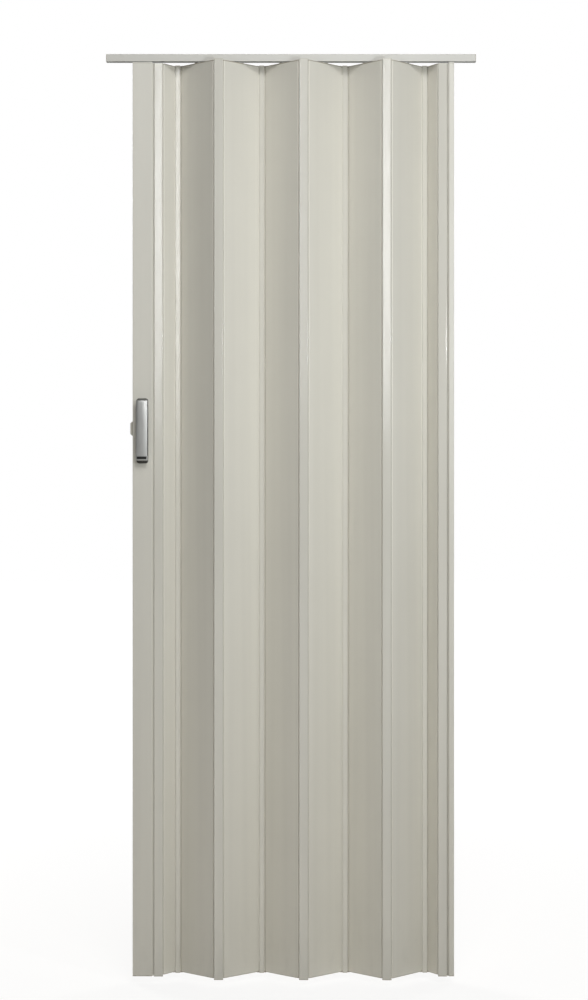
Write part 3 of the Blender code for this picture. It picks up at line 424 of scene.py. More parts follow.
def extruded_vinyl(name, colour, roughness=0.40, top_shade=0.85, under_shade=0.0):
    """Rigid vinyl from an extruder: faint die lines along its length, a dry grain, even colour.

    A little dust lies near the floor. The ends are darker, as painted shade, such as under the
    track, and as darker saw-cut edges, the top ones by top_shade. An underside is darker by
    under_shade, as painted shade.
    """
    finish = Finish(name)
    section = finish.node("ShaderNodeUVMap", {"uv_map": "section"}, {})
    lines = finish.noise(DIE_LINES, detail=3.0, place=section)
    waves = finish.noise(DRAW_WAVES, detail=1.0, place=section)
    clouds = finish.noise(COLOUR_CLOUDS)
    grain = finish.noise(DRY_GRAIN)
    body = finish.mottled(0.45 * clouds + 0.35 * waves + 0.20 * lines, colour, 0.965, 1.02)
    low_down = 1.0 - finish.ramp(finish.part(finish.place, "Z"), *DUST_HEIGHTS)
    dust = finish.ramp(finish.noise(DUST_PATCHES, detail=4.0), *DUST_STEP) * low_down
    body = finish.tint(DUST_SHADE * dust, body, shade(colour, DUST_TONE))
    ends = finish.node("ShaderNodeUVMap", {"uv_map": "ends"}, {})
    # Both ends darker: painted shade, such as under the track, with darker saw-cut edges.
    for axis, share in (("X", FOOT_SHADE), ("Y", top_shade)):
        distance = finish.part(ends, axis)
        shaded_sawn_end = 1.0 - finish.ramp(distance + SHADED_SAWN_END_FRAY * clouds, *SHADED_SAWN_END_STEP)
        body = finish.tint(share * shaded_sawn_end, body, SHADED_SAWN_END)
    # Painted shade on faces that look down.
    if under_shade:
        upward = finish.part(finish.node("ShaderNodeNewGeometry", {}, {}, "Normal"), "Z")
        underside = finish.ramp(0.0 - upward, *UNDERSIDE_STEP)
        body = finish.tint(under_shade * underside, body, shade(colour, UNDERSIDE_TONE))
    return finish.feed(
        Base_Color=body,
        Roughness=swinging(roughness, (0.10, grain), (0.06, clouds)) + DUST_DULLS * dust,
        Normal=finish.relief(0.5 * lines + 0.3 * grain + 0.9 * waves, VINYL_RELIEF),
        IOR=1.53,
    )


def moulded_plastic(name, colour, roughness, grain_depth=SPARK_RELIEF, specular=0.5):
    """Moulded plastic: fine spark-eroded grain, a little mottled."""
    finish = Finish(name)
    grain = finish.noise(SPARK_GRAIN, detail=3.0)
    return finish.feed(
        Base_Color=finish.mottled(finish.noise(PLASTIC_MOTTLE), colour, 0.93, 1.05),
        Roughness=swinging(roughness, (0.12, grain)),
        Normal=finish.relief(grain, grain_depth),
        Specular_IOR_Level=specular,
        IOR=1.52,
    )


def satin_metal(name, colour, roughness=0.46):
    """Cast metal with a satin plating, finely brushed along its height."""
    finish = Finish(name)
    brush = finish.noise(BRUSH_LINES, detail=3.0)
    bloom = finish.noise(METAL_BLOOM)
    return finish.feed(
        Base_Color=finish.mottled(bloom, colour, 0.94, 1.04),
        Metallic=1.0,
        Roughness=swinging(roughness, (0.14, brush), (0.05, bloom)),
        Normal=finish.relief(brush, FINE_RELIEF),
    )


def zinc_plate(name, colour, roughness=0.34):
    """Zinc-plated steel: crystalline mottle and a dull shine."""
    finish = Finish(name)
    sockets = {"Vector": finish.place, "Scale": ZINC_CRYSTALS}
    crystals = finish.node("ShaderNodeTexVoronoi", {"feature": "F1"}, sockets)
    haze = finish.noise(ZINC_HAZE, detail=3.0)
    return finish.feed(
        Base_Color=finish.mottled(haze, colour, 0.82, 1.05),
        Metallic=1.0,
        Roughness=swinging(roughness, (0.12, haze)) + 0.05 * crystals,
        Normal=finish.relief(haze, FINE_RELIEF),
    )


# Meshes


def arc(centre, radius, start, end, steps):
    """Points along an arc, angles in degrees, both ends included."""
    points = []
    for i in range(steps + 1):
        angle = math.radians(start + (end - start) * i / steps)
        points.append((centre[0] + radius * math.cos(angle), centre[1] + radius * math.sin(angle)))
    return points


def rounded_box(low, high, radius, steps=CORNER_STEPS):
    """Outline of a rectangle with round corners, or square ones where the radius is 0."""
    if radius == 0:
        return [low, (high[0], low[1]), high, (low[0], high[1])]
    corners = (
        (high[0] - radius, low[1] + radius, -90),
        (high[0] - radius, high[1] - radius, 0),
        (low[0] + radius, high[1] - radius, 90),
        (low[0] + radius, low[1] + radius, 180),
    )
    points = []
    for x, y, start in corners:
        points += arc((x, y), radius, start, start + 90, steps)
    return points


def ring(centre, radius):
    """A closed circle of points."""
    return arc(centre, radius, 0, 360 - 360 / HOLE_STEPS, HOLE_STEPS - 1)


def spread(first, last, count):
    """Evenly spaced places from first to last."""
    return [first + (last - first) * i / (count - 1) for i in range(count)]


def mirrored(points, centre_x=0.0):
    """The same points on the other side of a vertical line, in reverse order."""
    return [(2 * centre_x - x, y) for x, y in reversed(points)]


def flipped(loops):
    """The same outlines with front and back exchanged."""
    return [[(x, -y) for x, y in loop] for loop in loops]


def bead(towards):
    """Outline of a knuckle bead at the origin, open where its neck leaves at the angle towards."""
    half = math.degrees(math.asin(NECK_HALF / BEAD_RADIUS))
    return arc((0.0, 0.0), BEAD_RADIUS, towards + half, towards + 360 - half, BEAD_STEPS)


def strip_outline():
    """Section of a front hinge strip, whose web is in front and whose sockets open to the back.

    The sockets are at x = 0 and x = -STRIP_SPAN.
    """
    centre = -STRIP_SPAN / 2
    lip = math.radians(SOCKET_OPENS_FROM)
    tip = math.radians(SOCKET_OPENS_TO)
    corner = (STRIP_OVERHANG - STRIP_CORNER, -WEB_FACE + STRIP_CORNER)
    half = arc(corner, STRIP_CORNER, -90, 0, CORNER_STEPS)
    half.append((STRIP_OVERHANG, STRIP_OVERHANG * math.tan(lip)))
    half += arc((0.0, 0.0), SOCKET_RADIUS, SOCKET_OPENS_FROM, SOCKET_OPENS_TO - 360, SOCKET_STEPS)
    half.append((SOCKET_OUTER / math.tan(tip), SOCKET_OUTER))
    reach = SOCKET_RADIUS + STRIP_HOLLOW_WALL
    below = 180 + math.degrees(math.asin(SOCKET_OUTER / reach))
    above = 180 - math.degrees(math.asin((SOCKET_OUTER - STRIP_HOLLOW_WALL) / reach))
    side = arc((0.0, 0.0), reach, below, above, CORNER_STEPS)
    return [half + mirrored(half, centre), side + mirrored(side, centre)]


def panel_outline(span, cells):
    """Section of a hollow panel from the bead at x = 0 to the bead at x = -span."""
    half_thick = PANEL_THICKNESS / 2
    corner = (-SHOULDER_START - PANEL_CORNER, half_thick - PANEL_CORNER)
    back = [(-SHOULDER_START, NECK_HALF)] + arc(corner, PANEL_CORNER, 0, 90, CORNER_STEPS)
    front = [(x, -y) for x, y in reversed(back)]
    near_end = front + bead(180.0) + back
    loops = [near_end + mirrored(near_end, -span / 2)]
    first = -SHOULDER_START - SHOULDER_WALL
    pitch = (span + 2 * first + PANEL_RIB) / cells
    inside = half_thick - PANEL_SKIN
    for i in range(cells):
        right = first - i * pitch
        left = right - pitch + PANEL_RIB
        loops.append(rounded_box((left, -inside), (right, inside), CELL_CORNER, CELL_STEPS))
    return loops


def post_outline(width):
    """Section of a hollow post to the right of its bead.

    A ledge on the post's side closes the view between post and strip. It is wider and stands
    further forward than the ledge of the CAD node. The bead stands on an arm that leans back and
    runs out of the ledge.
    """
    lean = math.radians(ARM_ANGLE)
    near, far = POST_FACE, POST_FACE + width
    arm_offset = NECK_HALF / math.sin(lean)
    ledge = [(LEDGE_EDGE, (LEDGE_EDGE - arm_offset) * math.tan(lean))]
    turn = (LEDGE_EDGE + LEDGE_CORNER, -LEDGE_FRONT + LEDGE_CORNER)
    ledge += arc(turn, LEDGE_CORNER, 180, 270, LEDGE_STEPS) + [(near, -LEDGE_FRONT)]
    body = rounded_box((near, -POST_HALF_DEPTH), (far, POST_HALF_DEPTH), POST_CORNER)
    corner = CORNER_STEPS + 1
    arm_top = [(near, (near + arm_offset) * math.tan(lean))]
    loop = bead(ARM_ANGLE) + ledge + body[3 * corner :] + body[: 3 * corner] + arm_top
    low = (near + POST_WALL, -POST_HALF_DEPTH + POST_WALL)
    high = (far - POST_WALL, POST_HALF_DEPTH - POST_WALL)
    return [loop, rounded_box(low, high, CELL_CORNER, CELL_STEPS)]


def track_outline():
    """Section of the track, seen along it: local X is the door's Y and local Y is its Z."""
    half = TRACK_DEPTH / 2
    slot = TRACK_SLOT / 2
    edge = TRACK_CORNER
    right = [(slot, -TRACK_HEIGHT)]
    right += arc((half - edge, -TRACK_HEIGHT + edge), edge, -90, 0, CORNER_STEPS)
    right += arc((half - edge, -edge), edge, 0, 90, CORNER_STEPS)
    inner = [(TRACK_HALF_INSIDE, -TRACK_WALL), (TRACK_HALF_INSIDE, LIP_TOP), (slot, LIP_TOP)]
    return [right + mirrored(right) + mirrored(inner) + inner]


def held_flat(loop):
    """The same outline with a point just inside both ends of each long straight run.

    The smooth shading then turns at the corners only, and the flats stay flat.
    """
    points = []
    for first, last in zip(loop, loop[1:] + loop[:1]):
        points.append(first)
        length = math.dist(first, last)
        if length > 4 * FLAT_MARGIN:
            for part in (FLAT_MARGIN / length, 1 - FLAT_MARGIN / length):
                points.append(tuple(a + (b - a) * part for a, b in zip(first, last)))
    return points


def outline_curve(name, loops):
    """Closed flat outlines as one curve object."""
    curve = bpy.data.curves.new(name, "CURVE")
    curve.dimensions = "2D"
    curve.fill_mode = "NONE"
    for loop in map(held_flat, loops):
        spline = curve.splines.new("POLY")
        spline.points.add(len(loop) - 1)
        for point, (x, y) in zip(spline.points, loop):
            point.co = (x, y, 0.0, 1.0)
        spline.use_cyclic_u = True
    return as_object(name, curve)


def new_geometry_tree(name, inputs):
    """An empty geometry tree and the wires from its named inputs."""
    tree = bpy.data.node_groups.new(name, "GeometryNodeTree")
    face = tree.interface
    for label, kind in (("Geometry", "Geometry"), *inputs, ("Finish", "Material")):
        face.new_socket(label, in_out="INPUT", socket_type="NodeSocket" + kind)
    face.new_socket("Geometry", in_out="OUTPUT", socket_type="NodeSocketGeometry")
    entry = tree.nodes.new("NodeGroupInput")
    return tree, {socket.name: Wire(tree, socket) for socket in entry.outputs}


def end_tree(tree, geometry, finish):
    """Ends a geometry tree in Realize Instances and Set Material."""
    real = add_node(tree, "GeometryNodeRealizeInstances", {}, {0: geometry})
    sockets = {"Geometry": real, "Material": finish}
    painted = add_node(tree, "GeometryNodeSetMaterial", {}, sockets)
    add_node(tree, "NodeGroupOutput", {}, {0: painted})
    return tree


def extruding_tree():
    """Pulls flat outlines from Foot to Top and caps both ends.

    The map "section" holds the way round and the height, and "ends" how far up from the foot and
    down from the top.
    """
    tree, given = new_geometry_tree("extruded_section", [("Foot", "Float"), ("Top", "Float")])
    foot, top = given["Foot"], given["Top"]
    low = add_node(tree, "ShaderNodeCombineXYZ", {}, {"Z": foot})
    high = add_node(tree, "ShaderNodeCombineXYZ", {}, {"Z": top})
    rise = add_node(tree, "ShaderNodeCombineXYZ", {}, {"Z": top - foot})
    around = add_node(tree, "GeometryNodeSplineParameter", {}, {}, "Length")
    marked = add_node(
        tree,
        "GeometryNodeStoreNamedAttribute",
        {"data_type": "FLOAT", "domain": "POINT"},
        {"Geometry": given["Geometry"], "Name": "way_round", "Value": around},
    )
    lowered = add_node(tree, "GeometryNodeTransform", {}, {"Geometry": marked, "Translation": low})
    rim = add_node(tree, "GeometryNodeCurveToMesh", {}, {"Curve": lowered})
    sockets = {"Mesh": rim, "Offset": rise, "Offset Scale": 1.0}
    walls = add_node(tree, "GeometryNodeExtrudeMesh", {"mode": "EDGES"}, sockets)
    settings = {"data_type": "FLOAT"}
    way = add_node(tree, "GeometryNodeInputNamedAttribute", settings, {"Name": "way_round"})
    where = add_node(tree, "GeometryNodeInputPosition", {}, {})
    height = add_node(tree, "ShaderNodeSeparateXYZ", {}, {0: where}, "Z")
    maps = (("section", way, height), ("ends", height - foot, top - height))
    for name, across, along in maps:
        pair = add_node(tree, "ShaderNodeCombineXYZ", {}, {"X": across, "Y": along})
        walls = add_node(
            tree,
            "GeometryNodeStoreNamedAttribute",
            {"data_type": "FLOAT2", "domain": "CORNER"},
            {"Geometry": walls, "Name": name, "Value": pair},
        )
    cap = add_node(tree, "GeometryNodeFillCurve", {"mode": "TRIANGLES"}, {"Curve": marked})
    shell = [walls]
    for end in (low, high):
        sockets = {"Geometry": cap, "Translation": end}
        shell.append(add_node(tree, "GeometryNodeTransform", {}, sockets))
    whole = add_node(tree, "GeometryNodeJoinGeometry", {}, {0: shell})
    return end_tree(tree, whole, given["Finish"])


def ridge_tree():
    """A row of round ridges across a thumb tab: how many, how long, how thick and how far apart."""
    inputs = [("Count", "Int"), ("Length", "Float"), ("Radius", "Float"), ("Pitch", "Float")]
    tree, given = new_geometry_tree("grip_ridges", inputs)
    step = add_node(tree, "ShaderNodeCombineXYZ", {}, {"Z": given["Pitch"]})
    sockets = {"Count": given["Count"], "Offset": step}
    row = add_node(tree, "GeometryNodeMeshLine", {"mode": "OFFSET"}, sockets)
    sockets = {"Vertices": RIDGE_SIDES, "Radius": given["Radius"], "Depth": given["Length"]}
    rod = add_node(tree, "GeometryNodeMeshCylinder", {}, sockets)
    sockets = {"Geometry": rod, "Rotation": (0.0, QUARTER, 0.0)}
    laid = add_node(tree, "GeometryNodeTransform", {}, sockets)
    rods = add_node(tree, "GeometryNodeInstanceOnPoints", {}, {"Points": row, "Instance": laid})
    return end_tree(tree, rods, given["Finish"])


def run_tree(thing, tree, values):
    """The mesh that a geometry tree makes of an object, with its inputs set by identifier."""
    step = thing.modifiers.new("make", "NODES")
    step.node_group = tree
    for item in tree.interface.items_tree:
        if item.item_type == "SOCKET" and item.in_out == "INPUT" and item.name in values:
            step[item.identifier] = values[item.name]
    return mesh_from(thing)


def mesh_from(thing):
    """The evaluated mesh of an object, which is then removed."""
    bpy.context.view_layer.update()
    graph = bpy.context.evaluated_depsgraph_get()
    mesh = bpy.data.meshes.new_from_object(thing.evaluated_get(graph), depsgraph=graph)
    bpy.data.objects.remove(thing, do_unlink=True)
    return mesh


def welded(mesh):
    """Merges doubled points and turns every face outwards."""
    shape = bmesh.new()
    shape.from_mesh(mesh)
    bmesh.ops.remove_doubles(shape, verts=shape.verts, dist=WELD_WITHIN)
    bmesh.ops.recalc_face_normals(shape, faces=shape.faces)
    shape.to_mesh(mesh)
    shape.free()
    return mesh


def as_object(name, data):
    """A new object of the scene, at the origin."""
    thing = bpy.data.objects.new(name, data)
    bpy.context.scene.collection.objects.link(thing)
    return thing


def extrusion(name, loops, foot, top, finish, place=Matrix.Identity(4)):
    """A section pulled between two heights and set in place, as an object at the origin."""
    values = {"Foot": foot, "Top": top, "Finish": finish}
    mesh = welded(run_tree(outline_curve(name, loops), SECTION_TREE, values))
    mesh.transform(place)
    return as_object(name, mesh)


def box_mesh(low, high):
    """A box between two corners."""
    shape = bmesh.new()
    bmesh.ops.create_cube(shape, size=1.0)
    size = [high[i] - low[i] for i in range(3)]
    middle = [(high[i] + low[i]) / 2 for i in range(3)]
    shape.transform(Matrix.Translation(middle) @ Matrix.Diagonal((*size, 1.0)))
    return mesh_of(shape)


def mesh_of(shape):
    """The mesh of a bmesh shape, which is then freed."""
    mesh = bpy.data.meshes.new("shape")
    shape.to_mesh(mesh)
    shape.free()
    return mesh


def drill_mesh(start, end, radius):
    """A round bar from one point to another."""
    start, end = Vector(start), Vector(end)
    shape = bmesh.new()
    bmesh.ops.create_cone(
        shape,
        cap_ends=True,
        segments=HOLE_STEPS,
        radius1=radius,
        radius2=radius,
        depth=(end - start).length,
    )
    turn = Vector((0, 0, 1)).rotation_difference(end - start).to_matrix().to_4x4()
    shape.transform(Matrix.Translation((start + end) / 2) @ turn)
    return mesh_of(shape)


def carved(thing, tools, operation="DIFFERENCE"):
    """The piece after it is cut by, kept inside or joined to each tool mesh."""
    name = thing.name
    cutters = []
    for tool in tools:
        cutter = as_object("tool", tool)
        step = thing.modifiers.new("cut", "BOOLEAN")
        step.operation = operation
        step.solver = "EXACT"
        step.object = cutter
        cutters.append(cutter)
    mesh = mesh_from(thing)
    for cutter in cutters:
        bpy.data.objects.remove(cutter, do_unlink=True)
    return as_object(name, mesh)


def softened(thing, width, segments=3):
    """The piece with its sharp edges rounded over."""
    name = thing.name
    bevel = thing.modifiers.new("round", "BEVEL")
    bevel.width = width
    bevel.segments = segments
    bevel.limit_method = "ANGLE"
    bevel.angle_limit = ROUND_ABOVE
    bevel.use_clamp_overlap = True
    return as_object(name, mesh_from(thing))


def turned(name, profile):
    """A turned piece from a profile that runs down its outer side, radius first."""
    mesh = bpy.data.meshes.new(name)
    edges = [(i, i + 1) for i in range(len(profile) - 1)]
    mesh.from_pydata([(radius, 0.0, z) for radius, z in profile], edges, [])
    thing = as_object(name, mesh)
    screw = thing.modifiers.new("turn", "SCREW")
    screw.axis = "Z"
    screw.angle = 4 * QUARTER
    screw.steps = HOLE_STEPS
    screw.render_steps = HOLE_STEPS
    screw.use_merge_vertices = True
    screw.merge_threshold = POLE_WITHIN
    return as_object(name, welded(mesh_from(thing)))


def finished(thing, body, material, slot, *nodes):
    """Shades a piece, gives it its finish and its body, and lets it stand for its nodes."""
    mesh = thing.data
    mesh.materials.clear()
    mesh.materials.append(material)
    for face in mesh.polygons:
        face.material_index = 0
        face.use_smooth = True
    mesh.set_sharp_from_angle(angle=SMOOTH_BELOW)
    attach(thing, body)
    if nodes:
        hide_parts(*nodes)


# The chain of strips and panels


def fold_of(panel):
    """Fold of a full panel at rest. Panel 1 is nearest the lead post."""
    share = (panel - 1) / (FULL_PANELS - 1)
    dip = 4 * FOLD_DIP_MIDWAY * share * (1 - share)
    return FOLD_AT_LEAD + (FOLD_AT_JAMB - FOLD_AT_LEAD) * share - dip


def half_depth(panel):
    """Distance from the track's middle to either hinge axis of a full panel."""
    return PANEL_SPAN / 2 * math.sin(math.radians(fold_of(panel)))


def short_span():
    """Width of a short panel, which reaches from the track's middle to the deepest fold."""
    return half_depth(FULL_PANELS) / math.sin(math.radians(SHORT_PANEL_FOLD))


def chain():
    """Links from the jamb to the lead post: name, kind, length and degrees from -X to the back."""
    short = short_span()
    links = [
        ("jamb_hinge_strip", "front_strip", STRIP_SPAN, 0.0),
        ("jamb_half_panel", "short", short, SHORT_PANEL_FOLD),
    ]
    for panel in range(FULL_PANELS, 0, -1):
        side, sign = ("back", -1) if panel % 2 == 0 else ("front", 1)
        lean = 0.0
        if panel < FULL_PANELS:
            drop = half_depth(panel + 1) - half_depth(panel)
            lean = math.degrees(math.asin(drop / STRIP_SPAN))
        strip = f"{side}_hinge_strip_{panel // 2 + 1}"
        links.append((strip, side + "_strip", STRIP_SPAN, sign * lean))
        links.append((f"panel_{panel}", "full", PANEL_SPAN, sign * fold_of(panel)))
    links.append(("back_hinge_strip_1", "back_strip", STRIP_SPAN, 0.0))
    lead_reach = math.degrees(math.asin(half_depth(1) / short))
    links.append(("lead_half_panel", "short", short, -lead_reach))
    links.append(("lead_hinge_strip", "front_strip", STRIP_SPAN, 0.0))
    return links


def build_chain():
    """Hangs every strip and panel in its place, and returns the x of the lead post's hinge."""
    sections = {
        "front_strip": strip_outline(),
        "back_strip": flipped(strip_outline()),
        "full": panel_outline(PANEL_SPAN, PANEL_CELLS),
        "short": panel_outline(short_span(), SHORT_PANEL_CELLS),
    }
    x, y = JAMB_HINGE_X, 0.0
    for name, kind, length, angle in chain():
        lean = math.radians(angle)
        place = Matrix.Translation((x, y, 0.0)) @ Matrix.Rotation(-lean, 4, "Z")
        low, high, finish = STRIP_FOOT, FREE_STRIP_TOP, STRIP_VINYL
        if kind in ("full", "short"):
            low, high, finish = PANEL_FOOT, PANEL_TOP, PANEL_VINYL
        if name in ("jamb_hinge_strip", "lead_hinge_strip"):
            high = POST_TOP
        piece = extrusion(name + "_skin", sections[kind], low, high, finish, place)
        body = "jamb_hinge_strip" if name == "jamb_half_panel" else name
        finished(piece, body, finish, "rigid_vinyl", name)
        x -= length * math.cos(lean)
        y += length * math.sin(lean)
    return x


# Track and posts


def build_track():
    """Slotted track with its screw holes."""
    half = TRACK_LENGTH / 2
    track = extrusion("track_skin", track_outline(), -half, half, TRACK_VINYL, ALONG_X)
    end = half - TRACK_SCREW_INSET
    drills = [
        drill_mesh((x, 0.0, -2 * TRACK_WALL), (x, 0.0, TRACK_WALL), TRACK_SCREW_RADIUS)
        for x in spread(-end, end, TRACK_SCREWS)
    ]
    track = carved(track, drills)
    finished(track, "header_and_jamb", TRACK_VINYL, "rigid_vinyl", "track")


def build_jamb_post():
    """Post on the jamb, whose screws go in through wider driver holes on the strip's side."""
    place = Matrix.Translation((JAMB_HINGE_X, 0.0, 0.0))
    loops = post_outline(JAMB_POST_WIDTH)
    post = extrusion("jamb_post_skin", loops, POST_FOOT, POST_TOP, POST_VINYL, place)
    near = JAMB_HINGE_X + POST_FACE
    far = near + JAMB_POST_WIDTH
    drills = []
    for z in spread(POST_FOOT + JAMB_SCREW_INSET, POST_TOP - JAMB_SCREW_INSET, JAMB_SCREWS):
        for first, last, radius in (
            (near - FIT_GAP / 2, near + 2 * POST_WALL, JAMB_DRIVER_RADIUS),
            (far - 2 * POST_WALL, far + POST_WALL, JAMB_SCREW_RADIUS),
        ):
            y = -JAMB_SCREW_SETBACK
            drills.append(drill_mesh((first, y, z), (last, y, z), radius))
    post = carved(post, drills)
    finished(post, "header_and_jamb", POST_VINYL, "rigid_vinyl", "jamb_post")


def build_lead_post(lead):
    """Post with windows for the bolt and the thumb tabs, and holes for the pulls' screws."""
    loops = [mirrored(loop) for loop in post_outline(LEAD_POST_WIDTH)]
    post = extrusion("lead_post_skin", loops, POST_FOOT, POST_TOP, POST_VINYL, lead)
    thick = BOLT_THICKNESS / 2 + FIT_GAP
    edges = (LEAD_EDGE - POST_WALL, LEAD_EDGE + 2 * POST_WALL)
    windows = [(edges, (-thick, thick), BOLT_HEIGHT / 2 + FIT_GAP)]
    for side in (-1, 1):
        walls = sorted((side * (POST_HALF_DEPTH - 2 * POST_WALL), side * 2 * POST_HALF_DEPTH))
        windows.append((thumb_slot(), walls, THUMB_HOLE_RISE))
    cuts = []
    for (left, right), (front, back), rise in windows:
        low = (left, front, -BOLT_CENTRE_DROP - rise)
        cuts.append(box_mesh(low, (right, back, -BOLT_CENTRE_DROP + rise)))
    for z in screw_heights():
        ends = [(LEAD_POST_CENTRE, side * POST_DEPTH, z) for side in (-1, 1)]
        cuts.append(drill_mesh(*ends, SCREW_HOLE))
    for cut in cuts:
        cut.transform(lead)
    post = carved(post, cuts)
    finished(post, "lead_end", POST_VINYL, "rigid_vinyl", "lead_post")


def thumb_slot():
    """Left and right end of the slot that a thumb tab runs in."""
    return THUMB_MIDDLE - THUMB_HOLE_REACH, THUMB_MIDDLE + THUMB_HOLE_REACH + BOLT_TRAVEL


def screw_heights():
    """Heights of the upper and the lower screw through the pulls."""
    return (-PULL_CENTRE_DROP + SCREW_RISE, -PULL_CENTRE_DROP - SCREW_RISE)


# Pulls, latch and screws


def base_outline():
    """Outline of a pull's base plate, with its two screw holes and thumb slot."""
    half = PULL_WIDTH / 2 + BASE_MARGIN
    top = PULL_HEIGHT / 2 + BASE_ABOVE
    bottom = -PULL_HEIGHT / 2 - BASE_BELOW
    loops = [rounded_box((-half, bottom), (half, top), BASE_CORNER, 2 * CORNER_STEPS)]
    for rise in (SCREW_RISE, -SCREW_RISE):
        loops.append(ring((0.0, rise), SCREW_HOLE))
    left, right = (place - LEAD_POST_CENTRE for place in thumb_slot())
    middle = PULL_CENTRE_DROP - BOLT_CENTRE_DROP
    low, high = middle - THUMB_HOLE_RISE, middle + THUMB_HOLE_RISE
    loops.append(rounded_box((left, low), (right, high), 0))
    return loops


def bow_outline():
    """Side view of a pull: local X is the distance from its foot, local Y its height."""
    top = PULL_HEIGHT / 2
    steps = 2 * CORNER_STEPS
    outer = arc((PULL_STANDOFF - PULL_BEND, -top + PULL_BEND), PULL_BEND, -90, 0, steps)
    outer += arc((PULL_STANDOFF - PULL_BEND, top - PULL_BEND), PULL_BEND, 0, 90, steps)
    deep = PULL_STANDOFF - PULL_BAR
    low = top - PULL_LEG
    bend = PULL_INNER_BEND
    inner = [(0.0, low)] + arc((deep - bend, low - bend), bend, 90, 0, CORNER_STEPS)
    inner += arc((deep - bend, -low + bend), bend, 0, -90, CORNER_STEPS) + [(0.0, -low)]
    return [[(0.0, -top)] + outer + [(0.0, top)] + inner]


def crown_outline():
    """Plan view of a pull, with its crowned front face. Local Y is the distance from its foot."""
    half = PULL_WIDTH / 2
    side = PULL_STANDOFF - PULL_CROWN
    radius = (half**2 + PULL_CROWN**2) / (2 * PULL_CROWN)
    sweep = math.degrees(math.asin(half / radius))
    crown = arc((0.0, PULL_STANDOFF - radius), radius, 90 - sweep, 90 + sweep, CROWN_STEPS)
    return [[(-half, -PULL_BAR), (half, -PULL_BAR), (half, side)] + crown[1:-1] + [(-half, side)]]


def build_pull(lead, side, label):
    """Base plate, bow and inset on one face of the lead post: side is -1 in front, 1 behind."""
    middle = lead @ Matrix.Translation((LEAD_POST_CENTRE, 0.0, -PULL_CENTRE_DROP))
    turn = Matrix.Rotation(2 * QUARTER if side < 0 else 0.0, 4, "Z")
    seat = middle @ Matrix.Translation((0.0, side * PULL_FOOT, 0.0)) @ turn

    thick = BASE_THICKNESS / 2
    stand = middle @ Matrix.Translation((0.0, side * (BASE_BACK + thick), 0.0)) @ UPRIGHT
    base = extrusion(label + "_pull_plate", base_outline(), -thick, thick, DARK_BASE, stand)
    base = softened(base, BASE_SOFT_EDGE, segments=2)
    finished(base, "lead_end", DARK_BASE, "dark_plastic", label + "_pull_base")

    wide, tall, far = PULL_WIDTH, PULL_HEIGHT, 2 * PULL_STANDOFF
    bow = extrusion(label + "_pull_bow", bow_outline(), -wide, wide, PULL_METAL, ALONG_X)
    plan = extrusion("plan_tool", crown_outline(), -tall, tall, PULL_METAL)
    corners = [rounded_box((-wide / 2, -tall / 2), (wide / 2, tall / 2), PULL_CORNER)]
    face = extrusion("face_tool", corners, -far, far, PULL_METAL, UPRIGHT)
    tools = [plan.data, face.data]
    for tool in (plan, face):
        bpy.data.objects.remove(tool, do_unlink=True)
    bow = carved(bow, tools, "INTERSECT")
    half = INSET_WIDTH / 2
    low, high = INSET_RISE - tall / 2, INSET_RISE - tall / 2 + INSET_HEIGHT
    cuts = [box_mesh((-half, INSET_FLOOR, low), (half, far, high))]
    for rise in (SCREW_RISE, -SCREW_RISE):
        end = SCREW_GRIP_DEPTH if side < 0 else PULL_STANDOFF
        cuts.append(drill_mesh((0, -PULL_BAR, rise), (0, end, rise), SCREW_HOLE))
        if side > 0:
            head_end = far if rise > 0 else INSET_FLOOR + FIT_GAP
            start = (0, SCREW_SEAT - FIT_GAP, rise)
            cuts.append(drill_mesh(start, (0, head_end, rise), SCREW_HEAD_RADIUS + FIT_GAP))
    bow = softened(carved(bow, cuts), PULL_SOFT_EDGE)
    bow.data.transform(seat)
    finished(bow, "lead_end", PULL_METAL, "satin_metal", label + "_pull")

    half -= FIT_GAP
    corner = (half, INSET_FLOOR + INSET_DEPTH + FIT_GAP, high - FIT_GAP)
    inset = box_mesh((-half, INSET_FLOOR + FIT_GAP, low + FIT_GAP), corner)
    inset = softened(as_object(label + "_pull_window", inset), INSET_SOFT_EDGE)
    inset.data.transform(seat)
    finished(inset, "lead_end", INSET_BLACK, "dark_plastic", label + "_pull_inset")


def build_screws(lead):
    """Two long screws with cross recesses in their heads, which sit in the back pull."""
    base = PULL_FOOT + SCREW_SEAT
    top = base + SCREW_HEAD_HEIGHT
    tip = PULL_FOOT + SCREW_GRIP_DEPTH - 2 * FIT_GAP
    shoulder = (SCREW_HEAD_RADIUS - SCREW_HEAD_EDGE, top - SCREW_HEAD_EDGE)
    profile = [
        (0.0, top),
        *arc(shoulder, SCREW_HEAD_EDGE, 90, 0, CORNER_STEPS),
        (SCREW_HEAD_RADIUS, base),
        (SCREW_RADIUS, base),
        (SCREW_RADIUS, -tip + SCREW_RADIUS / 2),
        (SCREW_RADIUS / 2, -tip),
        (0.0, -tip),
    ]
    for z, label in zip(screw_heights(), ("upper", "lower")):
        screw = turned(f"pull_screw_{label}_steel", profile)
        cross = [
            box_mesh((-reach, -width, top - CROSS_DEPTH), (reach, width, top + CROSS_DEPTH))
            for reach, width in ((CROSS_REACH, CROSS_WIDTH), (CROSS_WIDTH, CROSS_REACH))
        ]
        screw = carved(screw, cross)
        place = Matrix.Translation((LEAD_POST_CENTRE, 0.0, z)) @ Matrix.Rotation(-QUARTER, 4, "X")
        screw.data.transform(lead @ place)
        finished(screw, "lead_end", SCREW_ZINC, "steel", f"pull_screw_{label}")


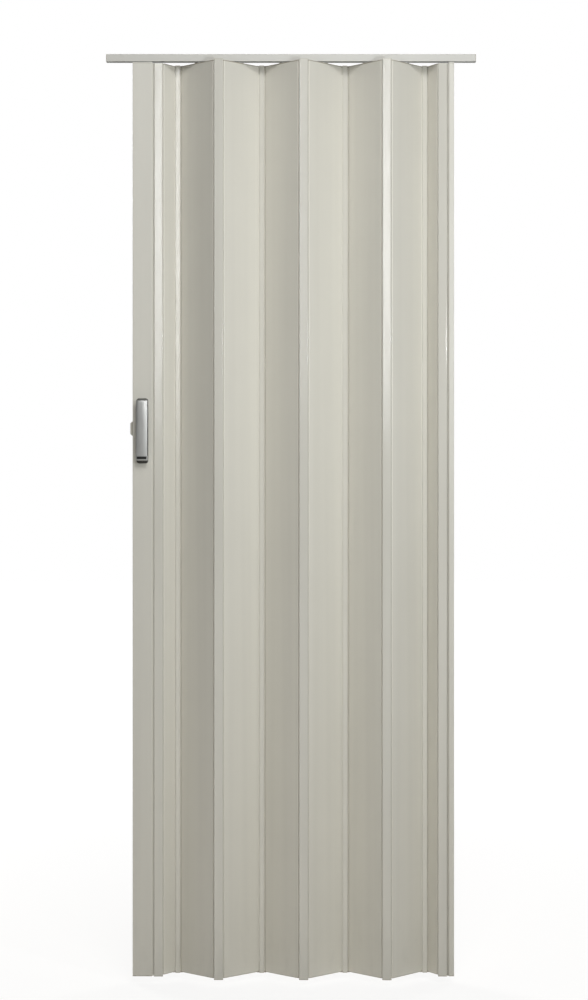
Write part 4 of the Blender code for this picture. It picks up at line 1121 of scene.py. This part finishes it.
def build_latch(lead):
    """Sliding bolt with its two thumb tabs, each with a row of grip ridges."""
    half = BOLT_HEIGHT / 2
    tip = LEAD_EDGE - BOLT_REACH
    end = tip + BOLT_LENGTH
    cut = tip + BOLT_CORNER
    steep = half - BOLT_CORNER
    face = [(end, -half), (end, half), (cut, half), (tip, steep), (tip, -steep), (cut, -half)]
    left, right = THUMB_MIDDLE - THUMB_HOLE_REACH, THUMB_MIDDLE + THUMB_HOLE_REACH
    window = rounded_box((left, -THUMB_HOLE_RISE), (right, THUMB_HOLE_RISE), 0)
    thick = BOLT_THICKNESS / 2
    level = lead @ Matrix.Translation((0.0, 0.0, -BOLT_CENTRE_DROP))
    loops = [face, window]
    bolt = extrusion("latch_bolt_tongue", loops, -thick, thick, LATCH_PLASTIC, level @ UPRIGHT)
    bolt = softened(bolt, BOLT_SOFT_EDGE)
    finished(bolt, "latch", LATCH_PLASTIC, "rigid_vinyl", "latch_bolt")

    pitch = (THUMB_HEIGHT - 2 * THUMB_EDGE) / GRIP_RIDGES
    values = {
        "Count": GRIP_RIDGES,
        "Length": THUMB_WIDTH - 2 * GRIP_END_GAP,
        "Radius": GRIP_RADIUS,
        "Pitch": pitch,
        "Finish": LATCH_PLASTIC,
    }
    left, right = THUMB_MIDDLE - THUMB_WIDTH / 2, THUMB_MIDDLE + THUMB_WIDTH / 2
    for side, label in ((-1, "front"), (1, "back")):
        front, back = sorted((side * FIT_GAP / 2, side * THUMB_FACE))
        tab = box_mesh((left, front, -THUMB_HEIGHT / 2), (right, back, THUMB_HEIGHT / 2))
        tab = softened(as_object(f"latch_thumb_{label}_tab", tab), THUMB_EDGE, segments=4)
        row = as_object("ridge_row", bpy.data.meshes.new("ridge_row"))
        ridges = run_tree(row, RIDGE_TREE, values)
        lowest = (THUMB_MIDDLE, side * THUMB_FACE, -pitch * (GRIP_RIDGES - 1) / 2)
        ridges.transform(Matrix.Translation(lowest))
        tab = carved(tab, [ridges], "UNION")
        tab.data.transform(level)
        finished(tab, "latch", LATCH_PLASTIC, "rigid_vinyl", f"latch_thumb_{label}")


def paint_carried_nodes():
    """Gives the inner fittings, whose shapes stay as they are, their own finishes."""
    for name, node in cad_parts.items():
        if node.hide_render:
            continue
        if "pin" in name or "screw" in name:
            material = zinc_plate(name + "_zinc", ZINC)
        else:
            material = moulded_plastic(name + "_nylon", NYLON, roughness=0.46)
        node.data.materials.clear()
        node.data.materials.append(material)


# Stage, light and camera


def rays(tree, kind):
    """1 for the rays of one kind and 0 for the others."""
    return add_node(tree, "ShaderNodeLightPath", {}, {}, f"Is {kind} Ray")


def backdrop_share(tree):
    """1 for camera, mirror and clear rays, and 0 for the rays that light the door."""
    return rays(tree, "Camera").or_more(rays(tree, "Glossy")).or_more(rays(tree, "Transmission"))


def build_world():
    """White to the camera, weak as a light, and in mirrors dark on the left and white on the right.

    Clear pieces show the same white as the camera sees.
    """
    world = bpy.data.worlds.new("studio")
    world.use_nodes = True
    bpy.context.scene.world = world
    tree = world.node_tree
    tree.nodes.clear()
    way = add_node(tree, "ShaderNodeTexCoord", {}, {}, "Generated")
    across = add_node(tree, "ShaderNodeSeparateXYZ", {}, {0: way}, "X")
    reflected = add_range(tree, across, DARK_SIDE, 1.0, -SIDE_REACH, SIDE_REACH)
    strength = add_range(tree, rays(tree, "Glossy"), WORLD_LIGHT, reflected)
    clear = rays(tree, "Camera").or_more(rays(tree, "Transmission"))
    strength = add_range(tree, clear, strength, 1.0)
    sockets = {"Color": (*WHITE, 1.0), "Strength": strength}
    white = add_node(tree, "ShaderNodeBackground", {}, sockets)
    add_node(tree, "ShaderNodeOutputWorld", {}, {"Surface": white})


def build_floor():
    """Pale floor just under the door, white to the camera but for the door's own shadow.

    Its white glow is weaker by the door, where the shadow is, and full past FLOOR_FADE.
    """
    shape = bmesh.new()
    bmesh.ops.create_grid(shape, x_segments=1, y_segments=1, size=FLOOR_SIZE)
    floor = as_object("studio_floor", mesh_of(shape))
    floor.data.transform(Matrix.Translation((0.0, 0.0, -FLOOR_DROP)))
    material = bpy.data.materials.new("pale_floor")
    material.use_nodes = True
    tree = material.node_tree
    tree.nodes.clear()
    spot = add_node(tree, "ShaderNodeTexCoord", {}, {}, "Object")
    away = add_node(tree, "ShaderNodeVectorMath", {"operation": "LENGTH"}, {0: spot}, "Value")
    share = backdrop_share(tree) * add_range(tree, away, GLOW_BY_DOOR, 1.0, *FLOOR_FADE)
    matt = add_node(tree, "ShaderNodeBsdfDiffuse", {}, {"Color": (*PALE_FLOOR, 1.0)})
    sockets = {"Color": (*WHITE, 1.0), "Strength": FLOOR_GLOW}
    glow = add_node(tree, "ShaderNodeEmission", {}, sockets)
    both = add_node(tree, "ShaderNodeMixShader", {}, {0: share, 1: matt, 2: glow})
    add_node(tree, "ShaderNodeOutputMaterial", {}, {"Surface": both})
    floor.data.materials.append(material)


def build_lamps():
    """Soft lamps, round or else upright, that all look at the middle of the door."""
    for name, place, (wide, tall), power, colour in LAMPS:
        lamp = bpy.data.lights.new(name, "AREA")
        lamp.shape = "DISK" if wide == tall else "ELLIPSE"
        lamp.size = wide
        lamp.size_y = tall
        lamp.energy = power
        lamp.color = colour
        holder = as_object(name, lamp)
        holder.location = place
        holder.visible_camera = False
        look = Vector(LAMPS_AIM) - Vector(place)
        holder.rotation_euler = look.to_track_quat("-Z", "Y").to_euler()


def build_camera():
    """Level camera in front of the door, with its lens shifted up a little."""
    lens = bpy.data.cameras.new("door_camera")
    lens.lens = LENS
    lens.shift_y = EYE_SHIFT
    camera = as_object("door_camera", lens)
    camera.location = EYE
    camera.rotation_euler = (QUARTER, 0.0, 0.0)
    bpy.context.scene.camera = camera


# Panels, strips and posts share one vinyl, lighter on the panels and darker on strips and posts as
# painted light and shade.
PANEL_VINYL = extruded_vinyl("panel_vinyl", shade(VINYL, PANEL_LIT_TONE))
STRIP_VINYL = extruded_vinyl(
    "strip_vinyl", shade(VINYL, STRIP_SHADED_TONE), roughness=0.11, top_shade=0.20
)
POST_VINYL = extruded_vinyl("post_vinyl", shade(VINYL, POST_SHADED_TONE), top_shade=0.30)
TRACK_VINYL = extruded_vinyl(
    "track_vinyl", TRACK_COLOUR, roughness=0.38, top_shade=0.55, under_shade=0.92
)
LATCH_PLASTIC = moulded_plastic("latch_plastic", shade(VINYL, LATCH_TONE), roughness=0.42)
PULL_METAL = satin_metal("pull_satin_metal", SATIN_METAL)
DARK_BASE = moulded_plastic("pull_plate_plastic", PLATE_PLASTIC, roughness=0.50, specular=0.35)
INSET_BLACK = moulded_plastic(
    "inset_black_plastic", DARK_PLASTIC, roughness=0.35, grain_depth=FINE_RELIEF, specular=0.25
)
SCREW_ZINC = zinc_plate("screw_zinc", ZINC)
SECTION_TREE = extruding_tree()
RIDGE_TREE = ridge_tree()

build_camera()
build_world()
build_floor()
build_lamps()

build_track()
build_jamb_post()
LEAD = Matrix.Translation((build_chain(), 0.0, 0.0))
build_lead_post(LEAD)
build_pull(LEAD, -1, "front")
build_pull(LEAD, 1, "back")
build_screws(LEAD)
build_latch(LEAD)
paint_carried_nodes()

bpy.context.scene.view_settings.view_transform = "Standard"
